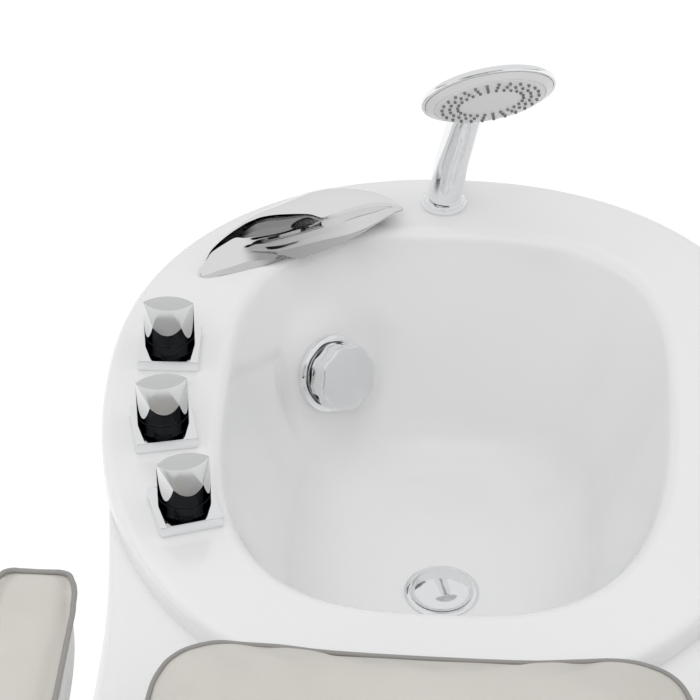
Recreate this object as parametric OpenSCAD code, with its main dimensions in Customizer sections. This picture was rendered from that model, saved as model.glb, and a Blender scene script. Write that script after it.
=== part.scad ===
// Pedicure spa chair: a moulded foot bath with deck fittings in front of a sliding,
// reclining upholstered seat, on one free-standing base.
// Millimetres, +Z up. The bath is at the front (-Y), the backrest at the rear (+Y).

/* [Foot bath] */
// Height of the bath's rim above the floor
rim_z = 480; // [450:5:520]
// Width over the rim
rim_w = 680; // [640:5:720]
// From the widest point of the rim to its front end
rim_front = 347; // [330:1:360]
// From the widest point of the rim to its rear end
rim_rear = 444; // [430:1:460]
// Width of the basin's mouth
mouth_w = 450; // [430:5:460]
// From the widest point to the front end of the mouth
mouth_front = 247; // [235:1:255]
// From the widest point to the rear end of the mouth
mouth_rear = 342; // [330:1:350]
// Depth of the basin
basin_depth = 250; // [230:5:260]
// Lean of the basin's wall from upright, in degrees
wall_lean = 19; // [14:1:21]

/* [Deck fittings] */
// Side of a square control plate
plate_side = 60; // [54:1:64]
// Thickness of a control plate
plate_t = 12; // [8:1:14]
// Diameter of a control knob
knob_d = 50; // [44:1:54]
// Height of a control knob over its plate
knob_h = 51; // [46:1:56]
// Diameter of the drain knob
drain_knob_d = 73; // [66:1:78]
// Diameter of the spray head
head_d = 140; // [130:1:144]
// Length of the waterfall spout
spout_len = 226; // [215:1:232]

/* [Base] */
// Width of the base where it carries the seat
base_w = 600; // [580:5:620]
// From the widest point of the rim to the rear of the base
base_rear = 1130; // [1100:5:1160]

/* [Seat] */
// Height of the seat's front edge
seat_z = 612; // [600:1:630]
// Width of the seat cushion
seat_w = 470; // [450:5:480]
// Thickness of the seat cushion at its edge
seat_t = 60; // [50:1:64]
// Width of the backrest
back_w = 470; // [450:5:480]
// Length of the backrest and headrest above the hinge
back_len = 660; // [640:5:680]
// Lean of the backrest from upright at rest, in degrees
back_lean = 24; // [20:1:28]
// Height of the armrests' tops
arm_z = 765; // [750:5:790]

/* [Hidden] */

$fn = 64;
ring_n = 64;                 // points round each moulded ring
total_rear = 1313.8;         // rearmost point of the backrest
tub_y = -(total_rear - rim_front) / 2;     // the origin is under the middle of the length

chrome = [0.86, 0.87, 0.88];
dark_chrome = [0.25, 0.26, 0.28];
gelcoat = [0.96, 0.96, 0.96];
leather = [0.86, 0.84, 0.81];
steel = [0.35, 0.36, 0.38];
grey_plastic = [0.45, 0.46, 0.48];
white_plastic = [0.9, 0.9, 0.9];
brass = [0.75, 0.62, 0.35];
copper = [0.72, 0.45, 0.32];

// ---- shared geometry -------------------------------------------------------

// Everything is drawn about the widest point of the bath, then moved to the row's origin.
module place() { translate([0, tub_y, 0]) children(); }

// Closed solid through rings of equal length. A loop joins its last ring to its first.
module loft(rings, loop = false) {
  n = len(rings[0]);
  m = len(rings);
  bands = loop ? m : m - 1;
  sides = [for (r = [0:bands - 1], i = [0:n - 1])
    let(a = r * n + i, b = r * n + (i + 1) % n, up = ((r + 1) % m) * n)
    each [[a, up + i, b], [b, up + i, up + (i + 1) % n]]];
  first = [for (i = [0:n - 1]) i];
  last = [for (i = [n - 1:-1:0]) (m - 1) * n + i];
  polyhedron([for (r = rings) each r], concat(sides, loop ? [] : [first, last]), convexity = 10);
}

function lerp(a, b, k) = a + (b - a) * k;
function clamp01(k) = max(0, min(1, k));
function smooth(k) = let(c = clamp01(k)) c * c * (3 - 2 * c);
function power(v, p) = sign(v) * pow(abs(v), p);

// Point of an egg-shaped superellipse at polar angle q, with a short front and a long rear
function oval(q, half_w, front, rear, n) =
  let(b = sin(q) < 0 ? front : rear,
      r = pow(pow(abs(cos(q)) / half_w, n) + pow(abs(sin(q)) / b, n), -1 / n))
  [r * cos(q), r * sin(q)];

// Rounded rectangle of half sizes a and b, sampled by angle
function squircle(q, a, b, n) = [a * power(cos(q), 2 / n), b * power(sin(q), 2 / n)];
function squircle_ring(a, b, n, z, count) =
  [for (i = [0:count - 1]) let(p = squircle(360 * i / count, a, b, n)) [p[0], p[1], z]];

// Round pipe along a list of points, with a ball fitting at each corner
module pipe(points, d, fitting = 1.12) {
  for (i = [0:len(points) - 2]) {
    run = points[i + 1] - points[i];
    reach = norm(run);
    translate(points[i])
      rotate([0, acos(run[2] / reach), atan2(run[1], run[0])])
        cylinder(d = d, h = reach);
    if (i > 0) translate(points[i]) sphere(d = d * fitting);
  }
}

// Smooth round bar through a list of [centre, radius] pairs; its first ring lies level
module sweep(stops, count = 28) {
  last = len(stops) - 1;
  function unit(v) = v / norm(v);
  function along(i) = i == 0 ? [0, 0, 1] : unit(stops[min(i + 1, last)][0] - stops[i - 1][0]);
  function ring(i) = let(d = along(i), e1 = unit(cross([0, 1, 0], d)), e2 = cross(d, e1))
    [for (j = [0:count - 1]) let(a = 360 * j / count)
      stops[i][0] + stops[i][1] * (cos(a) * e1 + sin(a) * e2)];
  loft([for (i = [0:last]) ring(i)]);
}

// Square tube along X, Y or Z from its lower corner
module box_tube(size, wall) {
  long = max(size);
  bore = [for (s = size) s == long ? long + 2 : s - 2 * wall];
  difference() {
    cube(size);
    translate([for (s = size) s == long ? -1 : wall]) cube(bore);
  }
}

// ---- bath ------------------------------------------------------------------

bath_wall = 6;
rim_n = 2.18;
mouth_n = 2.94;
edge_r = 10;                 // outer edge of the rim
roll_r = 16;                 // rolled edge into the basin
roll_out = 8;                // the roll starts this far outside the mouth's line
bend_r = 85;                 // wall to floor
lip_h = 28;
deck_z = rim_z - lip_h;      // the rim's lip stands on this deck of the base shell
floor_z = rim_z - basin_depth;

roll_turn = 90 - wall_lean;
wall_top = [roll_out * -1 + roll_r * sin(roll_turn), roll_r * (1 - cos(roll_turn))];  // [inset, depth]
bend_depth = basin_depth - bend_r * (1 - sin(wall_lean));
bend_inset = wall_top[0] + (bend_depth - wall_top[1]) * tan(wall_lean);
floor_inset = bend_inset + bend_r * cos(wall_lean);

// Inset of the basin's wall from the mouth's line at a depth under the rim
function wall_inset(depth) = wall_top[0] + (depth - wall_top[1]) * tan(wall_lean);

function rim_ring(inset, z) = [for (i = [0:ring_n - 1])
  let(p = oval(360 * i / ring_n, rim_w / 2 - inset, rim_front - inset, rim_rear - inset, rim_n))
  [p[0], p[1], z]];
function mouth_point(q, inset) =
  oval(q, mouth_w / 2 - inset, mouth_front - inset, mouth_rear - inset,
       mouth_n - 0.5 * clamp01(inset / floor_inset));
function mouth_ring(inset, z) = [for (i = [0:ring_n - 1])
  let(p = mouth_point(360 * i / ring_n, inset)) [p[0], p[1], z]];

// Rolled edge, wall and floor bend as [inset, z] pairs; skin = 0 inside, bath_wall underneath
function basin_profile(skin, roll_steps, wall_steps, bend_steps) = concat(
  [for (i = [0:roll_steps]) let(a = roll_turn * i / roll_steps, r = roll_r - skin)
    [-roll_out + r * sin(a), rim_z - roll_r + r * cos(a)]],
  [for (i = [1:wall_steps]) let(k = i / (wall_steps + 1))
    [lerp(wall_top[0], bend_inset, k) - skin * cos(wall_lean),
     rim_z - lerp(wall_top[1], bend_depth, k) - skin * sin(wall_lean)]],
  [for (i = [0:bend_steps]) let(a = lerp(180 + wall_lean, 270, i / bend_steps), r = bend_r + skin)
    [floor_inset + r * cos(a), floor_z + bend_r + r * sin(a)]]);

// Frame on the basin's wall at polar angle q and a depth: +Z points out of the wall into the basin
module on_wall(q, depth) {
  inset = wall_inset(depth);
  p = mouth_point(q, inset);
  ahead = mouth_point(q + 0.5, inset);
  turn = atan2(ahead[1] - p[1], ahead[0] - p[0]) + 90;
  translate([p[0], p[1], rim_z - depth]) rotate([0, 0, turn]) rotate([0, 90 - wall_lean, 0]) children();
}

overflow_q = -49.7;
overflow_depth = 129;
jet_q = 90;
jet_depth = 150;
module at_overflow() on_wall(overflow_q, overflow_depth) children();
module at_jet() on_wall(jet_q, jet_depth) children();
drain_pos = [0, 46];

// Control stations: [x, y, turn] along the left rim, hot, diverter, cold
stations = [[280, -18, 2], [272, 105, 14], [238, 221, 20]];
button_pos = [-283, 60];
spout_tail = [262, -150];
spout_turn = 201.1;          // the spout's long axis in plan
shank_along = 108;
shank_off = 44;
spout_shank_pos = spout_tail + shank_along * [cos(spout_turn), sin(spout_turn)]
                  + shank_off * [-sin(spout_turn), cos(spout_turn)];
shower_pos = [17.5, -296];

module station(k) {
  translate([stations[k][0], stations[k][1], rim_z]) rotate([0, 0, stations[k][2]]) children();
}

valve_hole_d = 34;
shank_hole_d = 28;
holder_hole_d = 36;
button_hole_d = 28;
overflow_hole_d = 52;
waste_hole_d = 56;
jet_hole_d = 84;

// One moulding: rim, lip and basin, with a flat pad on the wall for the overflow and the jet
module foot_bath() {
  under = basin_profile(bath_wall, 3, 1, 3);
  inside = basin_profile(0, 3, 2, 5);
  color(gelcoat) place() difference() {
    union() {
      loft(concat(
        [for (i = [len(under) - 1:-1:0]) mouth_ring(under[i][0], under[i][1])],
        [rim_ring(edge_r + 8, rim_z - bath_wall), rim_ring(bath_wall, rim_z - edge_r - 8),
         rim_ring(bath_wall, deck_z), rim_ring(0, deck_z)],
        [for (a = [0, 30, 60, 90]) rim_ring(edge_r * (1 - cos(a)), rim_z - edge_r * (1 - sin(a)))],
        [for (p = inside) mouth_ring(p[0], p[1])]));
      at_overflow() translate([0, 0, -bath_wall]) cylinder(d = 92, h = bath_wall + pad_h);
      at_jet() translate([0, 0, -bath_wall]) cylinder(d = 116, h = bath_wall + pad_h);
    }
    for (k = [0:2]) station(k) translate([0, 0, -20]) cylinder(d = valve_hole_d, h = 30);
    translate([spout_shank_pos[0], spout_shank_pos[1], rim_z - 20]) cylinder(d = shank_hole_d, h = 30);
    translate([shower_pos[0], shower_pos[1], rim_z - 20]) cylinder(d = holder_hole_d, h = 30);
    translate([button_pos[0], button_pos[1], rim_z - 20]) cylinder(d = button_hole_d, h = 30);
    translate([drain_pos[0], drain_pos[1], floor_z - 20]) cylinder(d = waste_hole_d, h = 40);
    at_overflow() {
      translate([0, 0, -25]) cylinder(d = overflow_hole_d, h = 50);
      translate([0, 0, pad_h]) cylinder(d = 86, h = 30);
    }
    at_jet() translate([0, 0, -25]) cylinder(d = jet_hole_d, h = 50);
  }
}

// ---- base ------------------------------------------------------------------

shell_wall = 5;
shell_half = rim_w / 2 - 6;
shell_front = rim_front - 7;
shell_corner = 90;
deck_r = 26;                 // shoulder of the deck under the seat
rim_shoulder = 5;            // and under the bath's rim
foot_gap = 10;               // the shell's lower edge clears the floor
base_n = 72;

// Half width of the shell's side behind the widest point: it draws in to the base's width
function side_half(y) = lerp(shell_half, base_w / 2, smooth(y / 360));

// Right half of the shell's rear outline, k from 0 at the widest point to 1 at the rear centre
function rear_half(k, inset) =
  let(corner_y = base_rear - shell_corner, r = shell_corner - inset,
      y = corner_y * pow(clamp01(k / 0.6), 1.4), a = 90 * clamp01((k - 0.6) / 0.25))
  k <= 0.6 ? [side_half(y) - inset, y] :
  k <= 0.85 ? [base_w / 2 - shell_corner + r * cos(a), corner_y + r * sin(a)] :
  [(base_w / 2 - shell_corner) * (1 - (k - 0.85) / 0.15), base_rear - inset];

function base_point(i, inset) =
  let(j = 2 * i / base_n - 1, p = rear_half(j < 0.5 ? 2 * j : 2 - 2 * j, inset))
  i < base_n / 2
    ? oval(180 + 360 * i / base_n, shell_half - inset, shell_front - inset, shell_front, rim_n)
    : [p[0] * (j < 0.5 ? 1 : -1), p[1]];
function base_ring(inset, z) = [for (i = [0:base_n - 1]) let(p = base_point(i, inset)) [p[0], p[1], z]];

// Ring on the shoulder: a is 0 where it leaves the side and 90 where it meets the deck
function shoulder_ring(a, skin) = [for (i = [0:base_n - 1])
  let(r = lerp(rim_shoulder, deck_r, smooth((base_point(i, 0)[1] - 200) / 220)),
      p = base_point(i, skin + (r - skin / 2) * (1 - cos(a))))
  [p[0], p[1], deck_z - skin - (r - skin / 2) * (1 - sin(a))]];

// Mouth in the deck that the bath drops through, sampled in step with the outline
deck_gap = 79;               // the deck's mouth stands this far outside the basin's
function deck_mouth(z) = [for (i = [0:base_n - 1])
  let(p = oval(180 + 360 * i / base_n, mouth_w / 2 + deck_gap, mouth_front + deck_gap - 3,
               mouth_rear + deck_gap - 3, rim_n))
  [p[0], p[1], z]];

module base_shell() {
  color(gelcoat) place() difference() {
    loft(concat(
      [base_ring(28, foot_gap), base_ring(24, 70), base_ring(6, 120), base_ring(0, 220)],
      [for (a = [0, 30, 60, 90]) shoulder_ring(a, 0)],
      [deck_mouth(deck_z), deck_mouth(deck_z - shell_wall)],
      [for (a = [90, 45, 0]) shoulder_ring(a, shell_wall)],
      [base_ring(shell_wall, 222), base_ring(6 + shell_wall, 118), base_ring(24 + shell_wall, 68),
       base_ring(28 + shell_wall, foot_gap)]), loop = true);
    translate([-panel_w / 2 + 15, base_rear - 40, panel_z + 15])
      cube([panel_w - 30, 60, panel_h - 30]);
    at_panel_screws() translate([0, 0, -20]) cylinder(d = screw_d + 0.2, h = 40);
  }
}

panel_w = 340;
panel_h = 170;
panel_z = 236;
panel_t = 4;
screw_d = 4;
screw_inset = 8;
gland_x = 100;
gland_z = panel_z + 40;

// Copies children to the panel's four corners, with +Z out of the base's rear
module at_panel_screws()
  for (x = [-1, 1], z = [panel_z + screw_inset, panel_z + panel_h - screw_inset])
    translate([x * (panel_w / 2 - screw_inset), base_rear, z]) rotate([-90, 0, 0]) children();

module rounded_plate(w, h, t, r) {
  linear_extrude(t) union() {
    translate([-w / 2 + r, -h / 2]) square([w - 2 * r, h]);
    translate([-w / 2, -h / 2 + r]) square([w, h - 2 * r]);
    for (x = [-1, 1], y = [-1, 1]) translate([x * (w / 2 - r), y * (h / 2 - r)]) circle(r = r);
  }
}

// Rear hatch with a louvre over the pump and a hole for the cable gland
module service_panel() color(white_plastic) place() difference() {
  translate([0, base_rear + panel_t, panel_z + panel_h / 2]) rotate([90, 0, 0])
    rounded_plate(panel_w, panel_h, panel_t, 12);
  at_panel_screws() translate([0, 0, -1]) cylinder(d = screw_d + 0.6, h = 10);
  translate([gland_x, base_rear - 1, gland_z]) rotate([-90, 0, 0]) cylinder(d = 20.4, h = 10);
  for (i = [0:6])
    translate([-130, base_rear - 1, panel_z + 46 + 12 * i]) cube([100, 10, 5]);
}

module panel_screws() color(steel) place() at_panel_screws() {
  translate([0, 0, -10]) cylinder(d = screw_d, h = 10 + panel_t);
  difference() {
    translate([0, 0, panel_t]) cylinder(d1 = 8.4, d2 = 6.4, h = 2.4);
    translate([0, 0, panel_t + 1]) cylinder(d = 3, h = 3, $fn = 6);
  }
}

module cable_gland() color(grey_plastic) place()
  translate([gland_x, base_rear, gland_z]) rotate([-90, 0, 0]) difference() {
    union() {
      translate([0, 0, -14]) cylinder(d = 20, h = 14 + panel_t);
      translate([0, 0, panel_t]) cylinder(d = 28, h = 6, $fn = 6);
      translate([0, 0, panel_t + 6]) cylinder(d1 = 22, d2 = 16, h = 10);
      translate([0, 0, -8]) cylinder(d = 28, h = 5, $fn = 6);
    }
    translate([0, 0, -20]) cylinder(d = 8, h = 50);
  }

rail_x = 225;
rail_s = 40;
rail_z = 30;
rail_run = [-170, 1080];
member_y = [290, 720, 1060];
post_s = 30;
front_posts = [263, -90];
rear_posts = [200, 290];
seat_posts = [580, 1030];

// Welded square-tube ladder: two long rails and four cross members
module base_frame() color(steel) place() {
  for (x = [-1, 1]) translate([x * rail_x - rail_s / 2, rail_run[0], rail_z])
    box_tube([rail_s, rail_run[1] - rail_run[0], rail_s], 3);
  translate([-front_posts[0] - post_s / 2, front_posts[1] - rail_s / 2, rail_z])
    box_tube([2 * front_posts[0] + post_s, rail_s, rail_s], 3);
  for (y = member_y) translate([-rail_x - rail_s / 2, y - rail_s / 2, rail_z])
    box_tube([2 * rail_x + rail_s, rail_s, rail_s], 3);
}

// Square-tube post on the ladder, from its top face up to a height
module base_post(x, y, top) translate([x - post_s / 2, y - post_s / 2, rail_z + rail_s])
  box_tube([post_s, post_s, top - rail_z - rail_s], 2.5);

// Posts up to the rim's underside and to the deck under the seat
module base_posts() color(steel) place() for (x = [-1, 1]) {
  for (p = [front_posts, rear_posts]) base_post(x * p[0], p[1], rim_z - bath_wall);
  for (y = seat_posts) base_post(x * rail_x, y, deck_z - shell_wall);
}

feet_y = [-150, 450, 1060];
module levelling_feet() color(steel) place()
  for (x = [-1, 1], y = feet_y) translate([x * rail_x, y, 0]) {
    cylinder(d1 = 52, d2 = 44, h = 9);
    cylinder(d = 16, h = 12);
    cylinder(d = 10, h = rail_z);
    translate([0, 0, rail_z - 8]) cylinder(d = 20, h = 8, $fn = 6);
  }

plinth_half = [262, 295];
plinth_y = 800;
plinth_top = 497;
plinth_count = 56;

function plinth_ring(inset, z) =
  [for (p = squircle_ring(plinth_half[0] - inset, plinth_half[1] - inset, 6, z, plinth_count))
    [p[0], p[1] + plinth_y, p[2]]];

// Cover on the deck that carries the seat's rails, open underneath
module seat_plinth() color(gelcoat) place()
  loft([plinth_ring(30, plinth_top - 5), plinth_ring(11, plinth_top - 9), plinth_ring(7, deck_z + 8),
        plinth_ring(5, deck_z), plinth_ring(0, deck_z), plinth_ring(2, deck_z + 8),
        plinth_ring(6, plinth_top - 12), plinth_ring(9, plinth_top - 5),
        plinth_ring(15, plinth_top - 1), plinth_ring(22, plinth_top)]);

// ---- deck fittings ---------------------------------------------------------

pad_h = 5;
neck_d = 23;                 // threaded neck that holds a plate down on the rim
collar_h = 13;
spindle_d = 10;
running = 0.06;              // radial clearance of a turning spindle

module control_plate(k) color(chrome) place() station(k) difference() {
  translate([-plate_side / 2, -plate_side / 2, 0]) cube([plate_side, plate_side, plate_t]);
  translate([0, 0, -1]) cylinder(d = neck_d + 0.4, h = plate_t + 2);
}
module hot_plate() control_plate(0);
module diverter_plate() control_plate(1);
module cold_plate() control_plate(2);

// Valve body under the rim, with its neck up through the plate and a nut below the rim
module control_valve(k) color(brass) place() station(k) difference() {
  union() {
    translate([0, 0, -60]) cylinder(d = 30, h = 60 - bath_wall);
    translate([0, 0, -bath_wall - 10]) cylinder(d = 48, h = 10, $fn = 6);
    translate([0, 0, -bath_wall]) cylinder(d = neck_d, h = bath_wall + plate_t + collar_h - 2);
    translate([0, 0, -62]) cylinder(d = 15, h = 4);
  }
  translate([0, 0, -40]) cylinder(d = spindle_d + 2 * running, h = 80);
}
module hot_valve() control_valve(0);
module diverter_valve() control_valve(1);
module cold_valve() control_valve(2);

module knob_collars() color(dark_chrome) place()
  for (k = [0:2]) station(k) translate([0, 0, plate_t]) difference() {
    cylinder(d = knob_d, h = collar_h);
    translate([0, 0, -1]) cylinder(d = neck_d + 0.4, h = collar_h + 2);
  }

lens_half = 11;              // half the width of the handle's leaf-shaped top
front_lean = 32;             // lean of the broad facets
side_lean = 8.4;
side_turn = 52;
tip_cut = knob_d / 2 * 1.02 * cos(90 - side_turn);

// Block that cuts one leaning facet; dist is its distance from the axis at the handle's top
module facet_cut(turn, dist, lean, top)
  rotate([0, 0, turn]) translate([0, dist, top]) rotate([lean, 0, 0])
    translate([-40, 0, -90]) cube([80, 60, 120]);

// Round at the foot, cut by leaning facets to a leaf-shaped top with a low ridge
module control_knob(k) color(chrome) place() station(k) translate([0, 0, plate_t]) {
  difference() {
    translate([0, 0, collar_h + 1.6]) cylinder(d = knob_d, h = knob_h - collar_h - 1.6);
    for (t = [0, 180]) {
      facet_cut(t, lens_half, front_lean, knob_h);
      for (s = [-1, 1]) facet_cut(t + s * side_turn, tip_cut, side_lean, knob_h);
    }
    for (t = [0, 180])
      rotate([0, 0, t]) translate([-40, 0, knob_h]) rotate([-6, 0, 0]) cube([80, 60, 20]);
  }
  translate([0, 0, collar_h + 0.4]) cylinder(d = knob_d - 5, h = 1.4);
  translate([0, 0, collar_h - 40]) cylinder(d = spindle_d, h = 42);
}
module hot_knob() control_knob(0);
module diverter_knob() control_knob(1);
module cold_knob() control_knob(2);

// The spout's edges as [distance along it, offset towards the rim's edge, height over the rim]
spout_ref = 226;             // the length that these tables are for
back_foot = [[-4, 4, 0], [0, 9, 0], [6, 15, 0], [14, 24, 0], [26, 38, 0], [40, 51, 0], [60, 62, 0],
             [80, 71, 0], [100, 77, 0], [120, 82, 0], [140, 84, 0], [160, 83, 0], [178, 78, 1],
             [192, 70, 3], [205, 58, 6], [215, 46, 10], [222, 35, 14], [226, 28, 16.6]];
shoulder = [[-4, 3.6, 3.2], [0, 7.5, 6], [6, 12.5, 9], [14, 20, 14], [26, 29, 18], [40, 40, 20],
            [57, 47, 24], [73, 52, 28], [87, 54.5, 30.5], [112, 67.5, 28.5], [138, 78, 27],
            [161, 80.5, 26], [180, 77, 25], [197, 68.5, 24], [210, 59, 23], [220, 45, 22],
            [226, 29.6, 20.4]];
crest = [[-4, 1.6, 4.4], [0, 5, 7], [6, 9.5, 10.5], [14, 18, 16], [26, 24, 21], [40, 29.3, 26],
         [57, 35, 30], [73, 37, 33], [87.3, 34.2, 35], [100, 31, 35.2], [110.7, 28.5, 35],
         [125.5, 26.4, 33], [133, 22.9, 30], [136.6, 22.7, 27.6], [148, 28, 27], [161.7, 32, 27],
         [178.2, 36, 26.6], [195, 38, 25.8], [210, 37.5, 24.4], [220, 33, 22.4], [226, 28, 21.2]];
tongue = [[40, 29, 19], [47.6, 28.5, 17], [60, 26.5, 17], [69, 24.5, 17.5], [95.5, 21.9, 18],
          [115.4, 24, 20], [126.6, 21.8, 22.5], [136.5, 21.7, 26.2], [148, 25.5, 26], [161.7, 28, 26.2],
          [178.2, 31, 26.2], [191.3, 32, 25.5], [208, 32.5, 24], [219, 29.6, 22.2], [226, 26.8, 20.7]];
trough_edge = [[50, 14.5, 14], [57, 16, 15.5], [60, 18.5, 17], [71.3, 20.5, 17.5], [89.8, 20.3, 18.2],
               [115, 22, 20.3], [136.5, 21, 24.8], [161.7, 26, 25.3], [178.2, 29, 25.3],
               [191.3, 30.3, 24.7], [208, 31, 23.3], [219, 28.4, 21.7], [226, 25.9, 20.2]];
trough_front = [[50, 12, 12.5], [55, 10.4, 12], [66, 7.5, 11], [84.8, 3.8, 10], [100, 4.8, 10.4],
                [118.2, 6.3, 11], [137, 6, 12.5], [150, 3.6, 14.5], [163, 2.5, 16.5], [186.5, 7, 19],
                [204.6, 15.4, 20.6], [215, 20.5, 21], [222, 24, 20.4], [226, 25.2, 19.4]];
lip = [[50, 11, 11.5], [55, 9.6, 10.5], [73.2, 5, 8], [84.1, 1.2, 6], [94.5, -4.2, 5], [103.9, -9.3, 4],
       [116, -8, 6], [136, -7.4, 9], [150, -4.5, 11.5], [160.6, -2.2, 13.2], [175, 1.5, 15.5],
       [186.5, 5.8, 17.4], [204.6, 14.3, 19], [215, 19.6, 19.4], [222, 23, 19], [226, 24.6, 18.6]];
front_foot = [[-4, -3.5, 0], [0, -6, 0], [6.8, -8, 0], [29.4, -7.9, 0], [60.5, -5, 0], [75, -2.5, 0],
              [90, 2.5, 0], [100, 8, 0], [112, 15, 0], [125, 20, 0], [140, 25, 0], [160, 32, 0],
              [178, 38, 2], [192, 38, 5], [205, 34, 9], [215, 30, 13], [222, 27, 15.5],
              [226, 25.6, 16.4]];
spout_stops = [0, 6, 14, 26, 38, 48, 55, 62, 74, 90, 104, 118, 130, 138, 152, 168, 184, 200, 212,
               220, 225];

// Offset and height of an edge at a distance along the spout
function edge_at(edge, u) =
  [for (k = [1, 2]) lookup(u, [for (e = edge) [e[0], e[k]]])];

// Closed section at a distance along the spout: over the back, under the crest, through the
// trough, down the lip and back along the foot
function spout_section(u) =
  let(open = smooth((u - 46) / 9),                                 // the trough opens
      scoop = smooth((u - 50) / 22) * smooth((139 - u) / 16),      // hollow under the crest
      deep = smooth((u - 50) / 14) * (1 - smooth((u - 190) / 34)), // depth of the trough
      ends = smooth(u / 20) * (1 - smooth((u - 200) / 26)),
      a = edge_at(back_foot, u), b = edge_at(shoulder, u),
      c = edge_at(crest, u), f = edge_at(front_foot, u),
      arc = function (s) [lerp(c[0], f[0], s), c[1] * (1 - pow(s, 1.9))],
      d = lerp(arc(0.14), edge_at(tongue, u), open), t = lerp(arc(0.3), edge_at(trough_edge, u), open),
      r = lerp(arc(0.62), edge_at(trough_front, u), open), l = lerp(arc(0.74), edge_at(lip, u), open))
  [for (p = [a, lerp(a, b, 0.55) + ends * [2.5, 3], b,
             lerp(b, c, 0.5) + [0, 3.2 * smooth(u / 60) * (1 - smooth((u - 170) / 55))],
             c, lerp(c, d, 0.3) + scoop * [7, -1], lerp(c, d, 0.65) + scoop * [11, 1],
             d, t, lerp(t, r, 0.18) + deep * [0.5, -5.5], lerp(t, r, 0.55) + deep * [0, -3.2],
             r, l, lerp(l, f, 0.5) + ends * [-1.5, 1 - open], f, (a + f) / 2])
    [u * spout_len / spout_ref, p[0], p[1]]];

module at_spout() translate([spout_tail[0], spout_tail[1], rim_z]) rotate([0, 0, spout_turn]) children();

// Small round section that closes an end of the spout
function spout_end(u, centre, half) = [for (i = [0:15]) let(a = 22.5 * i - 40)
  [u * spout_len / spout_ref, centre[0] + half[0] * cos(a), centre[1] + half[1] * sin(a)]];

module spout_body() color(chrome) place() at_spout()
  loft(concat([spout_end(-4, [0.3, 2.4], [3.6, 2.2])],
              [for (u = spout_stops) spout_section(u)],
              [spout_end(227, [27, 18.7], [1.6, 1.8])]));

module spout_shank() color(brass) place()
  translate([spout_shank_pos[0], spout_shank_pos[1], rim_z]) {
    translate([0, 0, -62]) cylinder(d = 26, h = 62);
    translate([0, 0, -bath_wall - 10]) cylinder(d = 36, h = 10, $fn = 6);
  }

ring_d = 49;
holder_bore = 26;
head_pos = [-27.5, -221, 190];        // centre of the spray head over the rim
head_normal = [-0.226, 0.777, -0.588];
spigot_h = 44;
grip_z = 8.4;                // the grip's foot stands just over the holder
// Centre of the grip over the rim and its radius, from its foot to the back of the spray head
grip_stops = [[[17.5, -296, grip_z], 17], [[16.8, -295.9, 14], 18.2], [[9.3, -293.4, 61], 18.2],
              [[-0.2, -288.5, 103], 17.8], [[-6.5, -282, 130], 17.6], [[-11.5, -274.5, 147], 17.6],
              [[-15, -266.5, 158.5], 16.6], [[-19.4, -251.5, 171.3], 13.2],
              [[-22.6, -240.5, 180.3], 8.5], [[-25.4, -231, 187.9], 3]];

module at_head() translate([head_pos[0], head_pos[1], rim_z + head_pos[2]])
  rotate([0, acos(head_normal[2]), atan2(head_normal[1], head_normal[0])]) children();

module at_shower() translate([shower_pos[0], shower_pos[1], rim_z]) children();

// Stepped ring on the rim with a socket below it that the handset stands in
module shower_holder() color(chrome) place() at_shower() difference() {
  union() {
    cylinder(d = ring_d, h = 4);
    cylinder(d = ring_d - 6, h = 8);
    translate([0, 0, -60]) cylinder(d = 34, h = 60);
    translate([0, 0, -bath_wall - 10]) cylinder(d = 50, h = 10, $fn = 6);
  }
  translate([0, 0, -61]) cylinder(d = holder_bore + 0.6, h = 80);
}

head_r = head_d / 2;
head_shell = [[0, -15], [22, -14], [44, -11], [60, -7], [head_r - 2, -5], [head_r, -2],
              [head_r, 1], [head_r - 2, 2.5], [head_r - 4, 2.5], [head_r - 4, 0.5], [0, 0.5]];

module hand_shower() color(chrome) place() {
  at_shower() translate([0, 0, grip_z - spigot_h]) cylinder(d = holder_bore, h = spigot_h + 3);
  translate([0, 0, rim_z]) sweep(grip_stops);
  at_head() rotate_extrude() polygon(head_shell);
}

face_r = head_r - 4.3;
panel_r = 57;
module shower_face() color(white_plastic) place() at_head() rotate_extrude()
  polygon([[0, 0.8], [face_r, 0.8], [face_r, 3], [panel_r + 1, 7.5], [panel_r, 6.8],
           [panel_r - 1, 8], [0, 9]]);

nozzle_rings = [34, 42, 50];
nozzle_count = 26;
module shower_nozzles() color(grey_plastic) place() at_head()
  for (r = nozzle_rings, i = [0:nozzle_count - 1])
    rotate([0, 0, 360 * (i + 0.5) / nozzle_count]) translate([r, 0, 7.4])
      cylinder(d1 = 3.6, d2 = 2.6, h = 3.4, $fn = 16);

module overflow_bezel() color(chrome) place() at_overflow() rotate_extrude()
  polygon([[28, pad_h], [42, pad_h], [42, pad_h + 5], [40, pad_h + 8], [34, pad_h + 8],
           [30, pad_h + 5], [28, pad_h + 5]]);

elbow_run = [[158, -181, 343], [158, -181, 178], [70, -40, 142], [17.4, 23.7, 138]];

// Overflow body through the wall, with its down pipe to the waste
module overflow_elbow() color(grey_plastic) place() {
  at_overflow() difference() {
    union() {
      translate([0, 0, -44]) cylinder(d = 50, h = 44 + pad_h);
      translate([0, 0, -18]) cylinder(d = 74, h = 9);
    }
    translate([0, 0, -38]) cylinder(d = 12 + 2 * running, h = 60);
    difference() {
      translate([0, 0, -12]) cylinder(d = 44, h = 30);
      translate([0, 0, -20]) cylinder(d = 20, h = 40);
    }
  }
  pipe(elbow_run, 28, 1.3);
}

drain_knob_z = 17;
drain_knob_h = 22;

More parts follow.
